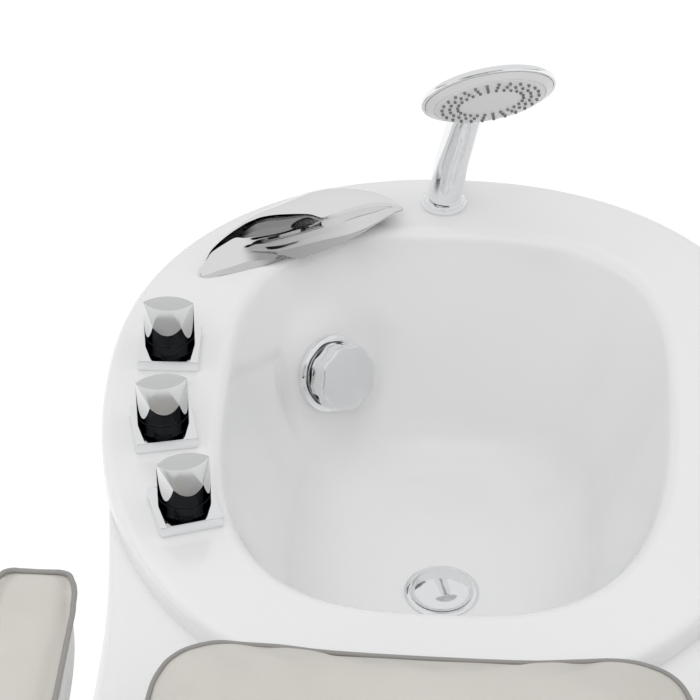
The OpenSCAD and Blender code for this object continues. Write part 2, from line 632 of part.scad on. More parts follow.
// Eight-lobed knob with a domed face on a spindle in the overflow body
module drain_knob() color(chrome) place() at_overflow() difference() {
  union() {
    intersection() {
      translate([0, 0, drain_knob_z]) cylinder(d = drain_knob_d, h = drain_knob_h + 2);
      translate([0, 0, drain_knob_z + drain_knob_h + 2 - 260]) sphere(r = 260, $fn = 128);
    }
    translate([0, 0, drain_knob_z - 2]) cylinder(d = drain_knob_d - 12, h = 3);
    translate([0, 0, -17]) cylinder(d = 12, h = drain_knob_z + 17);
  }
  for (i = [0:7]) rotate([0, 0, 45 * i + 22.5]) translate([drain_knob_d / 2 + 58, 0, 0])
    cylinder(r = 60, h = 80);
  rotate([0, 0, 170]) translate([20, 0, drain_knob_z + 8]) rotate([0, 90, 0]) cylinder(d = 4, h = 30);
}

module drain_knob_screw() color(dark_chrome) place() at_overflow()
  rotate([0, 0, 170]) translate([20, 0, drain_knob_z + 8]) rotate([0, 90, 0]) difference() {
    cylinder(d = 4, h = 10);
    translate([0, 0, 7]) cylinder(d = 2, h = 6, $fn = 6);
  }

waste_low = floor_z - 44;
module waste_flange() color(chrome) place() translate([drain_pos[0], drain_pos[1], 0]) {
  difference() {
    union() {
      translate([0, 0, floor_z]) cylinder(d1 = 78, d2 = 72, h = 3);
      translate([0, 0, waste_low]) cylinder(d = 54, h = floor_z - waste_low + 1);
      translate([0, 0, floor_z - bath_wall - 8]) cylinder(d = 80, h = 8, $fn = 8);
    }
    translate([0, 0, waste_low - 1]) cylinder(d = 46, h = 80);
    translate([0, 0, floor_z - 1]) cylinder(d1 = 46, d2 = 58, h = 5);
  }
  difference() {
    union() {
      translate([0, 0, waste_low]) cylinder(d = 16, h = 12);
      for (a = [0, 90]) rotate([0, 0, a]) translate([-23.5, -2, waste_low]) cube([47, 4, 8]);
    }
    translate([0, 0, waste_low - 1]) cylinder(d = 8 + 2 * running, h = 20);
  }
}

module drain_stopper() color(chrome) place() translate([drain_pos[0], drain_pos[1], 0]) {
  translate([0, 0, floor_z + 3.3]) cylinder(d = 66, h = 3);
  translate([0, 0, floor_z + 6.3]) cylinder(d1 = 66, d2 = 40, h = 4);
  translate([0, 0, waste_low + 2]) cylinder(d = 8, h = floor_z - waste_low + 2);
}

outlet = [0, 640, 45];
outlet_d = 40;
outlet_len = 50;
waste_d = 36;
waste_run = [[drain_pos[0], drain_pos[1], 140], [0, outlet[1], 122], outlet];

// Trap body under the waste and its run to the outlet's spigot
module waste_pipe() color(grey_plastic) place() difference() {
  union() {
    translate([drain_pos[0], drain_pos[1], 112]) cylinder(d = 56, h = waste_low - 112);
    pipe(waste_run, waste_d);
    translate(outlet) cylinder(d = outlet_d, h = outlet_len);
  }
  translate([drain_pos[0], drain_pos[1], 118]) cylinder(d = 46, h = 80);
  translate(outlet - [0, 0, 5]) cylinder(d = waste_d - 6, h = 60);
}

supply_d = 12;
supply_elbow = 1.5;          // an elbow fitting is this much wider than the pipe
inlet_d = 15;
inlet_len = 60;
hot_inlet = [150, 640, 40];
cold_inlet = [95, 640, 40];
valve_low = rim_z - 62;
function valve_end(k) = [stations[k][0], stations[k][1], valve_low];

// Rigid copper run inside the base, from a valve to an open coupling above the floor
module supply_pipe(points) {
  low = points[len(points) - 1];
  difference() {
    union() {
      pipe(points, supply_d, supply_elbow);
      translate(low) cylinder(d = inlet_d, h = inlet_len);
    }
    translate(low - [0, 0, 5]) cylinder(d = supply_d - 2, h = 35);
  }
}
module hot_pipe() color(copper) place()
  supply_pipe([valve_end(0), [280, -18, 330], [280, 330, 300], [150, 560, 160], [150, 640, 130],
               hot_inlet]);
module cold_pipe() color(copper) place()
  supply_pipe([valve_end(2), [238, 221, 352], [258, 338, 264], [95, 560, 164], [95, 640, 130],
               cold_inlet]);
module mixed_pipe() color(copper) place()
  pipe([valve_end(1), [272, 105, 396], [306, 40, 396], [306, -60, 396], [270, -150, 396],
        [spout_shank_pos[0], spout_shank_pos[1], 396],
        [spout_shank_pos[0], spout_shank_pos[1], rim_z - 62]], supply_d);

jet_shaft = 8;
module jet_housing() color(grey_plastic) place() at_jet() difference() {
  union() {
    translate([0, 0, -60]) cylinder(d = 82, h = 60 + pad_h);
    translate([0, 0, -24]) cylinder(d = 104, h = 9);
  }
  translate([0, 0, -42]) cylinder(d = 72, h = 80);
  translate([0, 0, -62]) cylinder(d = jet_shaft + 2 * running, h = 40);
}

module jet_cover() color(white_plastic) place() at_jet() difference() {
  rotate_extrude() polygon([[0, pad_h + 9], [0, pad_h + 13], [30, pad_h + 12], [48, pad_h + 8],
                            [54, pad_h + 3], [54, pad_h], [44, pad_h], [42, pad_h + 4]]);
  for (i = [0:11]) rotate([0, 0, 30 * i]) translate([13, -2.5, 0]) cube([24, 5, 40]);
  for (i = [0:3]) rotate([0, 0, 90 * i + 45]) translate([44, 0, 0]) rotate([0, 30, 0])
    cylinder(d = 10, h = 40);
}

module jet_impeller() color(white_plastic) place() at_jet() {
  translate([0, 0, -56]) cylinder(d = jet_shaft, h = 22);
  translate([0, 0, -38]) cylinder(d = 20, h = 26);
  translate([0, 0, -38]) cylinder(d = 66, h = 3);
  for (i = [0:5]) rotate([0, 0, 60 * i]) translate([8, 0, -36]) intersection() {
    difference() {
      translate([0, 22, 0]) cylinder(r = 26, h = 20);
      translate([0, 22, -1]) cylinder(r = 23, h = 22);
    }
    translate([-2, -6, 0]) cube([25, 22, 20]);
  }
}

module jet_motor() color(steel) place() at_jet() {
  translate([0, 0, -150]) cylinder(d = 88, h = 82);
  translate([0, 0, -68]) cylinder(d = 96, h = 8);
  for (i = [0:11]) rotate([0, 0, 30 * i]) translate([42, -1.5, -146]) cube([6, 3, 72]);
}

module at_button() translate([button_pos[0], button_pos[1], rim_z]) children();

module button_bezel() color(chrome) place() at_button() difference() {
  union() {
    rotate_extrude() polygon([[0, 0], [20, 0], [20, 2], [17, 5], [0, 5]]);
    translate([0, 0, -44]) cylinder(d = 27, h = 44);
    translate([0, 0, -bath_wall - 8]) cylinder(d = 38, h = 8, $fn = 6);
  }
  translate([0, 0, -36]) cylinder(d = 24.2, h = 60);
}

module jet_button() color(chrome) place() at_button() {
  translate([0, 0, -18]) cylinder(d = 24, h = 25);
  intersection() {
    cylinder(d = 24, h = 12);
    translate([0, 0, 9 - 60]) sphere(r = 60);
  }
}

// ---- seat ------------------------------------------------------------------

guide_x = 170;
guide_y = [530, 1080];
guide_h = 18;
runner_y = [640, 860];
runner_len = 80;
frame_z = plinth_top + guide_h + 4;
tube = 25;
pan_z = frame_z + tube;
pan_t = 8;
cushion_z = pan_z + pan_t;

// Lipped channels on the plinth
module seat_rails() color(steel) place() for (x = [-1, 1])
  translate([x * guide_x, guide_y[0], plinth_top]) rotate([90, 0, 180])
    linear_extrude(guide_y[1] - guide_y[0]) polygon([
      [-20, 0], [20, 0], [20, guide_h], [11, guide_h], [11, guide_h - 3], [17, guide_h - 3],
      [17, 3], [-17, 3], [-17, guide_h - 3], [-11, guide_h - 3], [-11, guide_h], [-20, guide_h]]);

module seat_runners() color(dark_chrome) place() for (x = [-1, 1], y = runner_y)
  translate([x * guide_x, y, plinth_top]) {
    translate([-16, 0, 4]) cube([32, runner_len, 10]);
    translate([-10, 0, 12]) cube([20, runner_len, frame_z - plinth_top - 12]);
  }

lug_x = 137;
bar_pivot = [575, frame_z - 11];
bar_d = 8;
bracket_x = 246;
bracket_t = 6;
hinge_y = 1010;
hinge_z = 585;
arm_pivot = [915, arm_z - 43];

// Welded carriage under the seat
module seat_frame() color(steel) place() difference() {
  union() {
    for (x = [-1, 1]) {
      translate([x * guide_x - tube / 2, 520, frame_z]) box_tube([tube, 470, tube], 2);
      translate([x * lug_x - 3, bar_pivot[0] - 10, bar_pivot[1] - 6]) cube([6, 20, 17]);
    }
    for (y = [520, 565]) translate([-200, y, frame_z]) box_tube([400, tube, tube], 2);
    for (y = [880, 965])
      translate([-bracket_x, y, frame_z]) box_tube([2 * bracket_x, tube, tube], 2);
  }
  translate([-200, bar_pivot[0], bar_pivot[1]]) rotate([0, 90, 0])
    cylinder(d = bar_d + 0.16, h = 400);
}

bar_x = 128;
bar_front = 488;

// Round bar along X from a start point
module bar_x_run(start, d, h) translate(start) rotate([0, 90, 0]) cylinder(d = d, h = h);

// Release bar under the seat's front edge, pivoted in the carriage's lugs
module slide_bar() color(chrome) place() {
  for (x = [-1, 1]) {
    translate([x * bar_x, bar_front, bar_pivot[1]]) rotate([-90, 0, 0])
      cylinder(d = bar_d, h = bar_pivot[0] - bar_front);
    for (y = [bar_pivot[0], bar_front]) translate([x * bar_x, y, bar_pivot[1]]) sphere(d = bar_d);
    bar_x_run([min(x * bar_x, x * (bar_x + 16)), bar_pivot[0], bar_pivot[1]], bar_d, 16);
  }
  bar_x_run([-bar_x, bar_front, bar_pivot[1]], bar_d, 2 * bar_x);
  bar_x_run([-60, bar_front, bar_pivot[1]], 14, 120);
}

seat_mid = 712;
seat_half = [seat_w / 2, 216];
function pan_ring(inset, z) =
  [for (p = squircle_ring(seat_half[0] - inset, seat_half[1] - inset, 6, z, 48))
    [p[0], p[1] + seat_mid, p[2]]];
module seat_pan() color(grey_plastic) place()
  loft([pan_ring(16, pan_z), pan_ring(6, pan_z + 1), pan_ring(2, pan_z + 4),
        pan_ring(2, pan_z + pan_t)]);

// Unit square [-1, 1] to a rounded rectangle whose sides draw in between the corners
function pad_plan(u, v, half, draw) =
  let(round_u = u * sqrt(1 - 0.10 * pow(v, 4)), round_v = v * sqrt(1 - 0.10 * pow(u, 4)))
  [half[0] * (round_u - draw * u * (1 - v * v) * u * u),
   half[1] * (round_v - draw * v * (1 - u * u) * v * v)];
function crown(u, v) = pow((1 - pow(abs(u), 3)) * (1 - pow(abs(v), 3)), 0.55);
function channel(v, seams, width) = len(seams) == 0 ? 0 :
  max([for (s = seams) exp(-pow((v - s) / width, 2))]);

side_draw = 0.97;            // a pad's face and foot stand this much inside its bulge

// Upholstered pad, flat underneath: crowned face, drawn-in sides and sewn channels across it
module pad(half, edge, rise, nu, nv, seams_v = [], seams_u = [], depth = 0, draw = 0.02) {
  row = nu + 1;
  function at(i, j) = j * row + i;
  function seam(u, v) = max(channel(v, seams_v, 0.05), channel(u, seams_u, 0.05));
  function face_z(u, v) = edge + rise * crown(u, v) - depth * seam(u, v) * pow(crown(u, v), 0.5);
  top = [for (j = [0:nv], i = [0:nu])
    let(u = 2 * i / nu - 1, v = 2 * j / nv - 1, p = side_draw * pad_plan(u, v, half, draw))
    [p[0], p[1], face_z(u, v)]];
  low = [for (p = top) [p[0], p[1], 0]];
  rim = concat([for (i = [0:nu - 1]) at(i, 0)], [for (j = [0:nv - 1]) at(nu, j)],
               [for (i = [nu:-1:1]) at(i, nv)], [for (j = [nv:-1:1]) at(0, j)]);
  n = len(rim);
  count = len(top);
  bulge = [for (k = rim) [top[k][0] / side_draw, top[k][1] / side_draw, edge * 0.5]];
  cells = [for (j = [0:nv - 1], i = [0:nu - 1]) [at(i, j), at(i + 1, j), at(i + 1, j + 1), at(i, j + 1)]];
  upper = [for (c = cells) each [[c[0], c[2], c[1]], [c[0], c[3], c[2]]]];
  lower = [for (c = cells) each [[count + c[0], count + c[1], count + c[2]],
                                 [count + c[0], count + c[2], count + c[3]]]];
  sides = [for (k = [0:n - 1])
    let(a = rim[k], b = rim[(k + 1) % n], c = 2 * count + k, d = 2 * count + (k + 1) % n)
    each [[a, b, c], [b, d, c], [c, d, count + a], [d, count + b, count + a]]];
  polyhedron(concat(top, low, bulge), concat(upper, lower, sides), convexity = 6);
}

seat_seams = [-0.5, 0, 0.5];
module seat_cushion() color(leather) place() translate([0, seat_mid, cushion_z])
  pad(seat_half, seat_t - 6, 14, 16, 16, seams_v = seat_seams, depth = 7);

bracket_outline = [[870, 0], [1040, 0], [1048, 14], [1048, 84], [1040, 100], [1022, 107],
                   [990, 109], [966, 120], [952, 145], [944, 212], [934, 225], [918, 230],
                   [902, 226], [893, 214], [884, 120], [866, 20]];
arm_pin_d = 16;

// Plates on the carriage's ends that carry the recliner and an armrest's pin
module arm_brackets() color(steel) place() for (x = [-1, 1]) {
  translate([min(x * bracket_x, x * (bracket_x + bracket_t)), 0, frame_z]) rotate([90, 0, 90])
    linear_extrude(bracket_t) polygon(bracket_outline);
  bar_x_run([min(x * (bracket_x + bracket_t), x * (bracket_x + bracket_t + 40)),
             arm_pivot[0], arm_pivot[1]], arm_pin_d, 40);
}

disc_d = 66;
boss_d = 20;
hinge_pin_d = 12;

// Recliner disc inside each bracket, with the backrest's hinge pin and an outer boss
module recliner_discs() color(dark_chrome) place() for (x = [-1, 1]) {
  bar_x_run([min(x * (bracket_x - 8), x * bracket_x), hinge_y, hinge_z], disc_d, 8);
  bar_x_run([min(x * 214, x * (bracket_x - 8)), hinge_y, hinge_z], hinge_pin_d, bracket_x - 222);
  bar_x_run([min(x * (bracket_x + bracket_t), x * (bracket_x + bracket_t + 14)), hinge_y, hinge_z],
            boss_d, 14);
}

lever_tip = [-112, 8];

// Lever on the left recliner disc's boss
module recline_lever() color(dark_chrome) place()
  translate([bracket_x + bracket_t + 1, hinge_y, hinge_z]) rotate([90, 0, 90]) difference() {
    union() {
      cylinder(d = 34, h = 9);
      hull() {
        translate([-10, 0, 0]) cylinder(d = 24, h = 9, $fn = 32);
        translate(lever_tip) cylinder(d = 18, h = 9, $fn = 32);
      }
      translate(lever_tip) cylinder(d = 22, h = 12);
    }
    translate([0, 0, -1]) cylinder(d = boss_d + 2 * running, h = 20);
  }

// ---- backrest --------------------------------------------------------------

module back_place() place() translate([0, hinge_y, hinge_z]) rotate([-back_lean, 0, 0]) children();

shell_back = 62;             // rear face of the backrest shell behind the hinge line
shell_open = 5;
shell_low = 15;
shell_high = 520;
frame_d = 25;
frame_y = shell_back - 5 - frame_d / 2 - 4;
post_x = 60;
post_y = 26;
post_d = 12;
guide_z = [390, 466];
upright_x = 185;
upright_top = 448;

hinge_plate = [[0, -17], [20, -10], [56, 28], [56, 74], [32, 74], [32, 44], [8, 19], [-5, 16]];

// Tube frame behind the cushion: two uprights, two cross tubes, hinge plates, headrest guides
module back_frame() color(steel) back_place() difference() {
  union() {
    for (x = [-1, 1]) {
      translate([x * upright_x, frame_y, 62]) cylinder(d = frame_d, h = upright_top - 62);
      translate([x * upright_x, frame_y, upright_top]) sphere(d = frame_d);
      translate([min(x * 226, x * 232), 0, 0]) rotate([90, 0, 90]) linear_extrude(6) union() {
        circle(r = 17);
        polygon(hinge_plate);
      }
      translate([min(x * 180, x * 228), frame_y - 9, 52]) cube([48, 18, 22]);
      translate([x * post_x, post_y, guide_z[0]]) cylinder(d = 20, h = guide_z[1] - guide_z[0]);
    }
    for (z = [130, upright_top]) bar_x_run([-upright_x, frame_y, z], frame_d, 2 * upright_x);
    translate([-post_x - 10, post_y + 2, upright_top - 10])
      cube([2 * post_x + 20, frame_y - post_y, 20]);
  }
  bar_x_run([-300, 0, 0], hinge_pin_d + 2 * running, 600);
  for (x = [-1, 1]) translate([x * post_x, post_y, guide_z[0] - 10])
    cylinder(d = post_d + 0.3, h = 100);
}

shell_half_back = [back_w / 2 + 4, (shell_high - shell_low) / 2];
function back_ring(inset, y) =
  [for (p = squircle_ring(shell_half_back[0] - inset, shell_half_back[1] - inset, 5, 0, 56))
    [p[0], y, p[1] + (shell_high + shell_low) / 2]];

// Moulded tray behind the backrest, with holes for the headrest's posts and notches at the hinges
module back_shell() color(white_plastic) back_place() difference() {
  loft([back_ring(44, shell_back - 5), back_ring(18, shell_back - 12), back_ring(6, shell_back - 30),
        back_ring(4, shell_open), back_ring(0, shell_open), back_ring(2, shell_back - 30),
        back_ring(8, shell_back - 15), back_ring(18, shell_back - 5), back_ring(40, shell_back)]);
  for (x = [-1, 1]) {
    translate([x * post_x, post_y, shell_high - 40]) cylinder(d = post_d + 2, h = 80);
    translate([x * 205 - 45, 0, 0]) cube([90, shell_back - 4, 80]);
  }
}

back_seams = [-0.62, -0.24, 0.14, 0.52];
module back_cushion() color(leather) back_place()
  translate([0, shell_open, (shell_high + shell_low + 10) / 2]) rotate([90, 0, 0])
    pad([back_w / 2, (shell_high - shell_low - 10) / 2], 58, 22, 14, 20, seams_v = back_seams, depth = 9);

head_half = [140, 62];
headrest_mid = back_len - head_half[1];
module headrest_posts() color(chrome) back_place() for (x = [-1, 1])
  translate([x * post_x, post_y, guide_z[0] + 5])
    cylinder(d = post_d, h = headrest_mid - 30 - guide_z[0]);

module headrest_cushion() color(leather) back_place()
  translate([0, post_y + 14, headrest_mid]) rotate([90, 0, 0]) pad(head_half, 74, 22, 12, 8);

// ---- armrests --------------------------------------------------------------

arm_x = 300;
arm_half = [38, 172];
arm_mid = 772;
arm_h = 42;
pad_t = 22;

// Ring round an armrest; drop raises its underside towards the front end
function arm_ring(inset, z, drop) =
  [for (p = squircle_ring(arm_half[0] - inset, arm_half[1] - inset, 3.2, 0, 40))
    [p[0], p[1] + arm_mid, z + drop * pow(clamp01(-p[1] / 400), 2)]];

module armrest_shell() {
  top = arm_z - pad_t;
  difference() {
    loft([arm_ring(12, top - arm_h, 10), arm_ring(4, top - arm_h + 5, 9),
          arm_ring(0, top - arm_h + 14, 6), arm_ring(0, top - 6, 0), arm_ring(3, top, 0)]);
    bar_x_run([-60, arm_pivot[0], arm_pivot[1]], arm_pin_d + 2 * running, 56);
  }
}
module armrest_left() color(white_plastic) place() translate([arm_x, 0, 0]) armrest_shell();
module armrest_right() color(white_plastic) place() translate([-arm_x, 0, 0])
  mirror([1, 0, 0]) armrest_shell();

module arm_pad() translate([0, arm_mid, arm_z - pad_t])
  pad([arm_half[0] - 1, arm_half[1] - 2], pad_t - 8, 8, 6, 14, draw = 0.01);
module arm_pad_left() color(leather) place() translate([arm_x, 0, 0]) arm_pad();
module arm_pad_right() color(leather) place() translate([-arm_x, 0, 0]) arm_pad();

// ---- one node or all of them ------------------------------------------------

base_frame();
base_posts();
levelling_feet();
base_shell();
seat_plinth();
service_panel();
panel_screws();
cable_gland();
foot_bath();
spout_body();
spout_shank();
hot_plate();
diverter_plate();
cold_plate();
hot_valve();
diverter_valve();
cold_valve();
knob_collars();
hot_knob();
diverter_knob();
cold_knob();
overflow_bezel();
overflow_elbow();
drain_knob();
drain_knob_screw();
waste_flange();
waste_pipe();
drain_stopper();
shower_holder();
hand_shower();
shower_face();
shower_nozzles();
hot_pipe();
cold_pipe();
mixed_pipe();
jet_housing();
jet_cover();
jet_impeller();
jet_motor();
button_bezel();
jet_button();
seat_rails();
seat_runners();
seat_frame();
seat_pan();
seat_cushion();
slide_bar();
arm_brackets();
recliner_discs();
recline_lever();
back_frame();
back_shell();
back_cushion();
headrest_posts();
headrest_cushion();
armrest_left();
armrest_right();
arm_pad_left();
arm_pad_right();
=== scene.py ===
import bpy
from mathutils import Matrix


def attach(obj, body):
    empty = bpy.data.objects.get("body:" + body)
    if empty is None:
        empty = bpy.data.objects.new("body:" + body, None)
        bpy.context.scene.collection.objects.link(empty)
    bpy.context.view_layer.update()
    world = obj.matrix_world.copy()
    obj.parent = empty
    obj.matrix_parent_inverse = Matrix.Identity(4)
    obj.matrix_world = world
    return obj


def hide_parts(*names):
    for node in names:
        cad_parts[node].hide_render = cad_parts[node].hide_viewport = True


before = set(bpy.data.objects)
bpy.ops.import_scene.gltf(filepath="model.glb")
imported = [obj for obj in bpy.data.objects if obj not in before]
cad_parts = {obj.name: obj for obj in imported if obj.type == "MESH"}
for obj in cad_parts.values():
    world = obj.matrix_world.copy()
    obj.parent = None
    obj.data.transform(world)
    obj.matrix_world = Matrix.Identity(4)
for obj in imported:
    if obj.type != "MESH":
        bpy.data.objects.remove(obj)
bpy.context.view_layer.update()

import math
import bpy
import bmesh
from mathutils import Matrix, Vector
from mathutils.bvhtree import BVHTree

bpy.ops.object.select_all(action="DESELECT")

# ---- Camera, floor and studio light ----------------------------------------
# A long lens from over the seat, looking down at the foot bath. White floor and
# walls, four broad soft lights, and dark flags that only polished metal sees.
tub_y = -0.4834              # the bath's widest line in the frame
rim_z = 0.480                # top of the rim
sight = Vector((0.0545, -0.7834, -0.6191))
frame_right = Vector((-0.9976, -0.0694, 0.0))
frame_up = Vector((0.043, -0.6176, 0.7853))
bpy.ops.object.camera_add(location=(-0.0592, 2.2607 + tub_y, 1.8141 + rim_z))
camera = bpy.context.object
camera.name = "camera"
camera.data.lens = 149.9
camera.data.sensor_width = 36.0
camera.data.clip_end = 60.0
camera.matrix_world = Matrix((
    (frame_right.x, frame_up.x, -sight.x, camera.location.x),
    (frame_right.y, frame_up.y, -sight.y, camera.location.y),
    (frame_right.z, frame_up.z, -sight.z, camera.location.z),
    (0, 0, 0, 1)))
bpy.context.scene.camera = camera
bpy.context.scene.view_settings.view_transform = "Standard"

def paint(name, colour, roughness, metallic=0.0):
    """A new material of one colour."""
    material = bpy.data.materials.new(name)
    material.use_nodes = True
    surface = material.node_tree.nodes["Principled BSDF"]
    surface.inputs["Base Color"].default_value = (*colour, 1)
    surface.inputs["Roughness"].default_value = roughness
    surface.inputs["Metallic"].default_value = metallic
    return material

def added(tree, kind, **values):
    """A new node with these values on its inputs; an underscore stands for a space."""
    node = tree.nodes.new("ShaderNode" + kind)
    for key, value in values.items():
        node.inputs[key.replace("_", " ")].default_value = value
    return node

def wired(tree, *links):
    """Makes links, each given as source, its output, target and its input."""
    for source, output, target, socket in links:
        tree.links.new(source.outputs[output], target.inputs[socket])

world = bpy.data.worlds.new("studio")
bpy.context.scene.world = world
world.use_nodes = True
sky = world.node_tree
fill = sky.nodes["Background"]
fill.inputs["Color"].default_value = (1.0, 1.0, 1.0, 1.0)
fill.inputs["Strength"].default_value = 0.63
white = added(sky, "Background", Strength=1.0)
rays, pick = added(sky, "LightPath"), added(sky, "MixShader")
seen, seen_too = added(sky, "Math"), added(sky, "Math")
seen.operation = seen_too.operation = "MAXIMUM"
wired(sky, (rays, "Is Camera Ray", seen, 0), (rays, "Is Glossy Ray", seen, 1),
      (seen, 0, seen_too, 0), (rays, "Is Transmission Ray", seen_too, 1), (seen_too, 0, pick, 0),
      (fill, 0, pick, 1), (white, 0, pick, 2), (pick, 0, sky.nodes["World Output"], "Surface"))

bpy.ops.mesh.primitive_plane_add(size=40.0, location=(0, 0, 0))
floor = bpy.context.object
floor.name = "floor"
floor_paint = paint("floor_paint", (0.86, 0.86, 0.86), 0.9)
tree = floor_paint.node_tree
glow = added(tree, "Emission", Strength=1.16)
rays, pick = added(tree, "LightPath"), added(tree, "MixShader")
seen, share = added(tree, "Math"), added(tree, "Math")
seen.operation, share.operation = "MAXIMUM", "MULTIPLY"
share.inputs[1].default_value = 0.70
wired(tree, (rays, "Is Camera Ray", seen, 0), (rays, "Is Glossy Ray", seen, 1),
      (seen, 0, share, 0), (share, 0, pick, 0), (tree.nodes["Principled BSDF"], 0, pick, 1),
      (glow, 0, pick, 2), (pick, 0, tree.nodes["Material Output"], "Surface"))
floor.data.materials.append(floor_paint)

for name, place, target, size, power in (
        ("overhead", (0.3, -0.2, 3.4), (0, -0.3, 0.4), (2.4, 2.4), 16),
        ("front", (0.3, 2.3, 3.5), (0, -0.5, 0.3), (2.2, 1.2), 27),
        ("side_left", (3.0, 0.6, 1.7), (0, -0.2, 0.5), (1.6, 2.4), 10),
        ("side_right", (-3.0, -0.4, 1.9), (0, -0.2, 0.5), (1.6, 2.4), 7)):
    bpy.ops.object.light_add(type="AREA", location=place)
    lamp = bpy.context.object
    lamp.name = name
    lamp.data.shape = "RECTANGLE"
    lamp.data.size, lamp.data.size_y = size
    lamp.data.energy = power
    aim = Vector(target) - Vector(place)
    lamp.rotation_euler = aim.to_track_quat("-Z", "Y").to_euler()
    lamp.visible_glossy = False

flag_black = paint("flag_black", (0.01, 0.01, 0.01), 1.0)
flag_grey = paint("flag_grey", (0.62, 0.62, 0.62), 1.0)
quarter = math.pi / 2
for name, colour, place, turn, size in (
        ("low_flag", flag_black, (0.0, 3.4, 0.95), 0.0, (5.0, 1.1)),
        ("high_flag", flag_grey, (0.0, 3.4, 2.5), 0.0, (6.0, 1.9)),
        ("left_flag", flag_black, (3.4, 0.0, 0.75), quarter, (2.6, 0.5)),
        ("right_flag", flag_black, (-3.4, 0.0, 0.75), quarter, (2.6, 0.5))):
    bpy.ops.mesh.primitive_plane_add(size=1.0, location=place, rotation=(quarter, 0, turn))
    flag = bpy.context.object
    flag.scale = (*size, 1)
    bpy.ops.object.transform_apply(location=True, rotation=True, scale=True)
    flag.name = name
    flag.data.materials.append(colour)
    flag.visible_camera = flag.visible_diffuse = flag.visible_shadow = False

# ---- Foot bath --------------------------------------------------------------
# One vacuum-formed acrylic moulding with a glossy white skin: a broad flat rim with a
# turned-down lip, a soft roll into the deep basin, and a flat seat under each wall fitting.
half_width, rim_front, rim_rear = 0.340, 0.347, 0.444
mouth_half, mouth_front, mouth_rear = 0.225, 0.247, 0.342
basin_depth, wall_lean = 0.250, math.radians(19)
roll_radius, roll_out, floor_bend = 0.016, 0.008, 0.085
lip_radius, lip_drop, skin = 0.010, 0.028, 0.006
rim_power, mouth_power = 2.18, 2.94      # 2 is an ellipse, more is squarer

def egg(angle, half, front, rear, power):
    """Plan point on an egg shape whose front end is short and rear end long."""
    length = front if math.sin(angle) < 0 else rear
    across, along = abs(math.cos(angle)) / half, abs(math.sin(angle)) / length
    reach = (across ** power + along ** power) ** (-1 / power)
    return reach * math.cos(angle), reach * math.sin(angle)

roll_turn = math.pi / 2 - wall_lean
wall_top = (roll_radius * math.sin(roll_turn) - roll_out,
            roll_radius * (1 - math.cos(roll_turn)))
bend_depth = basin_depth - floor_bend * (1 - math.sin(wall_lean))
bend_inset = wall_top[0] + (bend_depth - wall_top[1]) * math.tan(wall_lean)
floor_inset = bend_inset + floor_bend * math.cos(wall_lean)

def ease(k):
    """Goes smoothly from 0 to 1 as k does."""
    k = max(0.0, min(1.0, k))
    return k * k * (3 - 2 * k)

def mouth(angle, inset):
    """Plan point on the basin, whose outline gets rounder towards its floor."""
    softer = 0.5 * max(0.0, min(1.0, inset / floor_inset))
    return egg(angle, mouth_half - inset, mouth_front - inset, mouth_rear - inset,
               mouth_power - softer)

def wall_frame(angle, depth):
    """Place on the basin's wall whose Z axis stands out of the wall into the basin."""
    inset = wall_top[0] + (depth - wall_top[1]) * math.tan(wall_lean)
    x, y = mouth(angle, inset)
    ahead = mouth(angle + math.radians(0.5), inset)
    turn = math.atan2(ahead[1] - y, ahead[0] - x) + math.pi / 2
    return (Matrix.Translation((x, y + tub_y, rim_z - depth)) @ Matrix.Rotation(turn, 4, "Z")
            @ Matrix.Rotation(math.pi / 2 - wall_lean, 4, "Y"))

overflow_place = wall_frame(math.radians(-49.7), 0.129)
jet_place = wall_frame(math.radians(90), 0.150)
seat_rise = 0.005

def seated(point, under):
    """Draws the wall level round the overflow and the jet, as the mould does."""
    for place, flat, fade in ((overflow_place, 0.046, 0.085), (jet_place, 0.058, 0.100)):
        local = place.inverted() @ point
        away = math.hypot(local.x, local.y)
        if away < fade and abs(local.z) < 0.04:
            local.z += (seat_rise - under - local.z) * ease((fade - away) / (fade - flat))
            point = place @ local
    return point

around = 192
angles = [2 * math.pi * i / around for i in range(around)]

def level(points, z, along=tub_y):
    """Plan points as a ring at one height, moved along the chair."""
    return [Vector((x, y + along, z)) for x, y in points]

def rim_ring(inset, z):
    return level([egg(a, half_width - inset, rim_front - inset, rim_rear - inset, rim_power)
                  for a in angles], z)

def mouth_ring(inset, z, under=0.0):
    return [seated(point, under) for point in level([mouth(a, inset) for a in angles], z)]

def floor_ring(z):
    """A ring on the basin's flat floor, inside its bend."""
    return [Vector((0.4 * x, 0.4 * (y - tub_y) + tub_y, z))
            for x, y, z in mouth_ring(floor_inset, z)]

def basin_steps(under, rolls, walls, bends):
    """Inset and height of each ring from the rim's flat down to the basin's floor."""
    steps = []
    for i in range(rolls + 1):
        turn, r = roll_turn * i / rolls, roll_radius - under
        steps.append((r * math.sin(turn) - roll_out, rim_z - roll_radius + r * math.cos(turn)))
    for i in range(1, walls + 1):
        k = i / (walls + 1)
        inset = wall_top[0] + (bend_inset - wall_top[0]) * k - under * math.cos(wall_lean)
        drop = wall_top[1] + (bend_depth - wall_top[1]) * k + under * math.sin(wall_lean)
        steps.append((inset, rim_z - drop))
    for i in range(bends + 1):
        turn, r = math.radians(199) + math.radians(71) * i / bends, floor_bend + under
        steps.append((floor_inset + r * math.cos(turn),
                      rim_z - basin_depth + floor_bend + r * math.sin(turn)))
    return steps

def primitive(add, name, **settings):
    """A new primitive, with its place and size applied, as the one selected object."""
    bpy.ops.object.select_all(action="DESELECT")
    add(**settings)
    piece = bpy.context.object
    bpy.ops.object.transform_apply(location=True, rotation=True, scale=True)
    piece.name = piece.data.name = name
    return piece

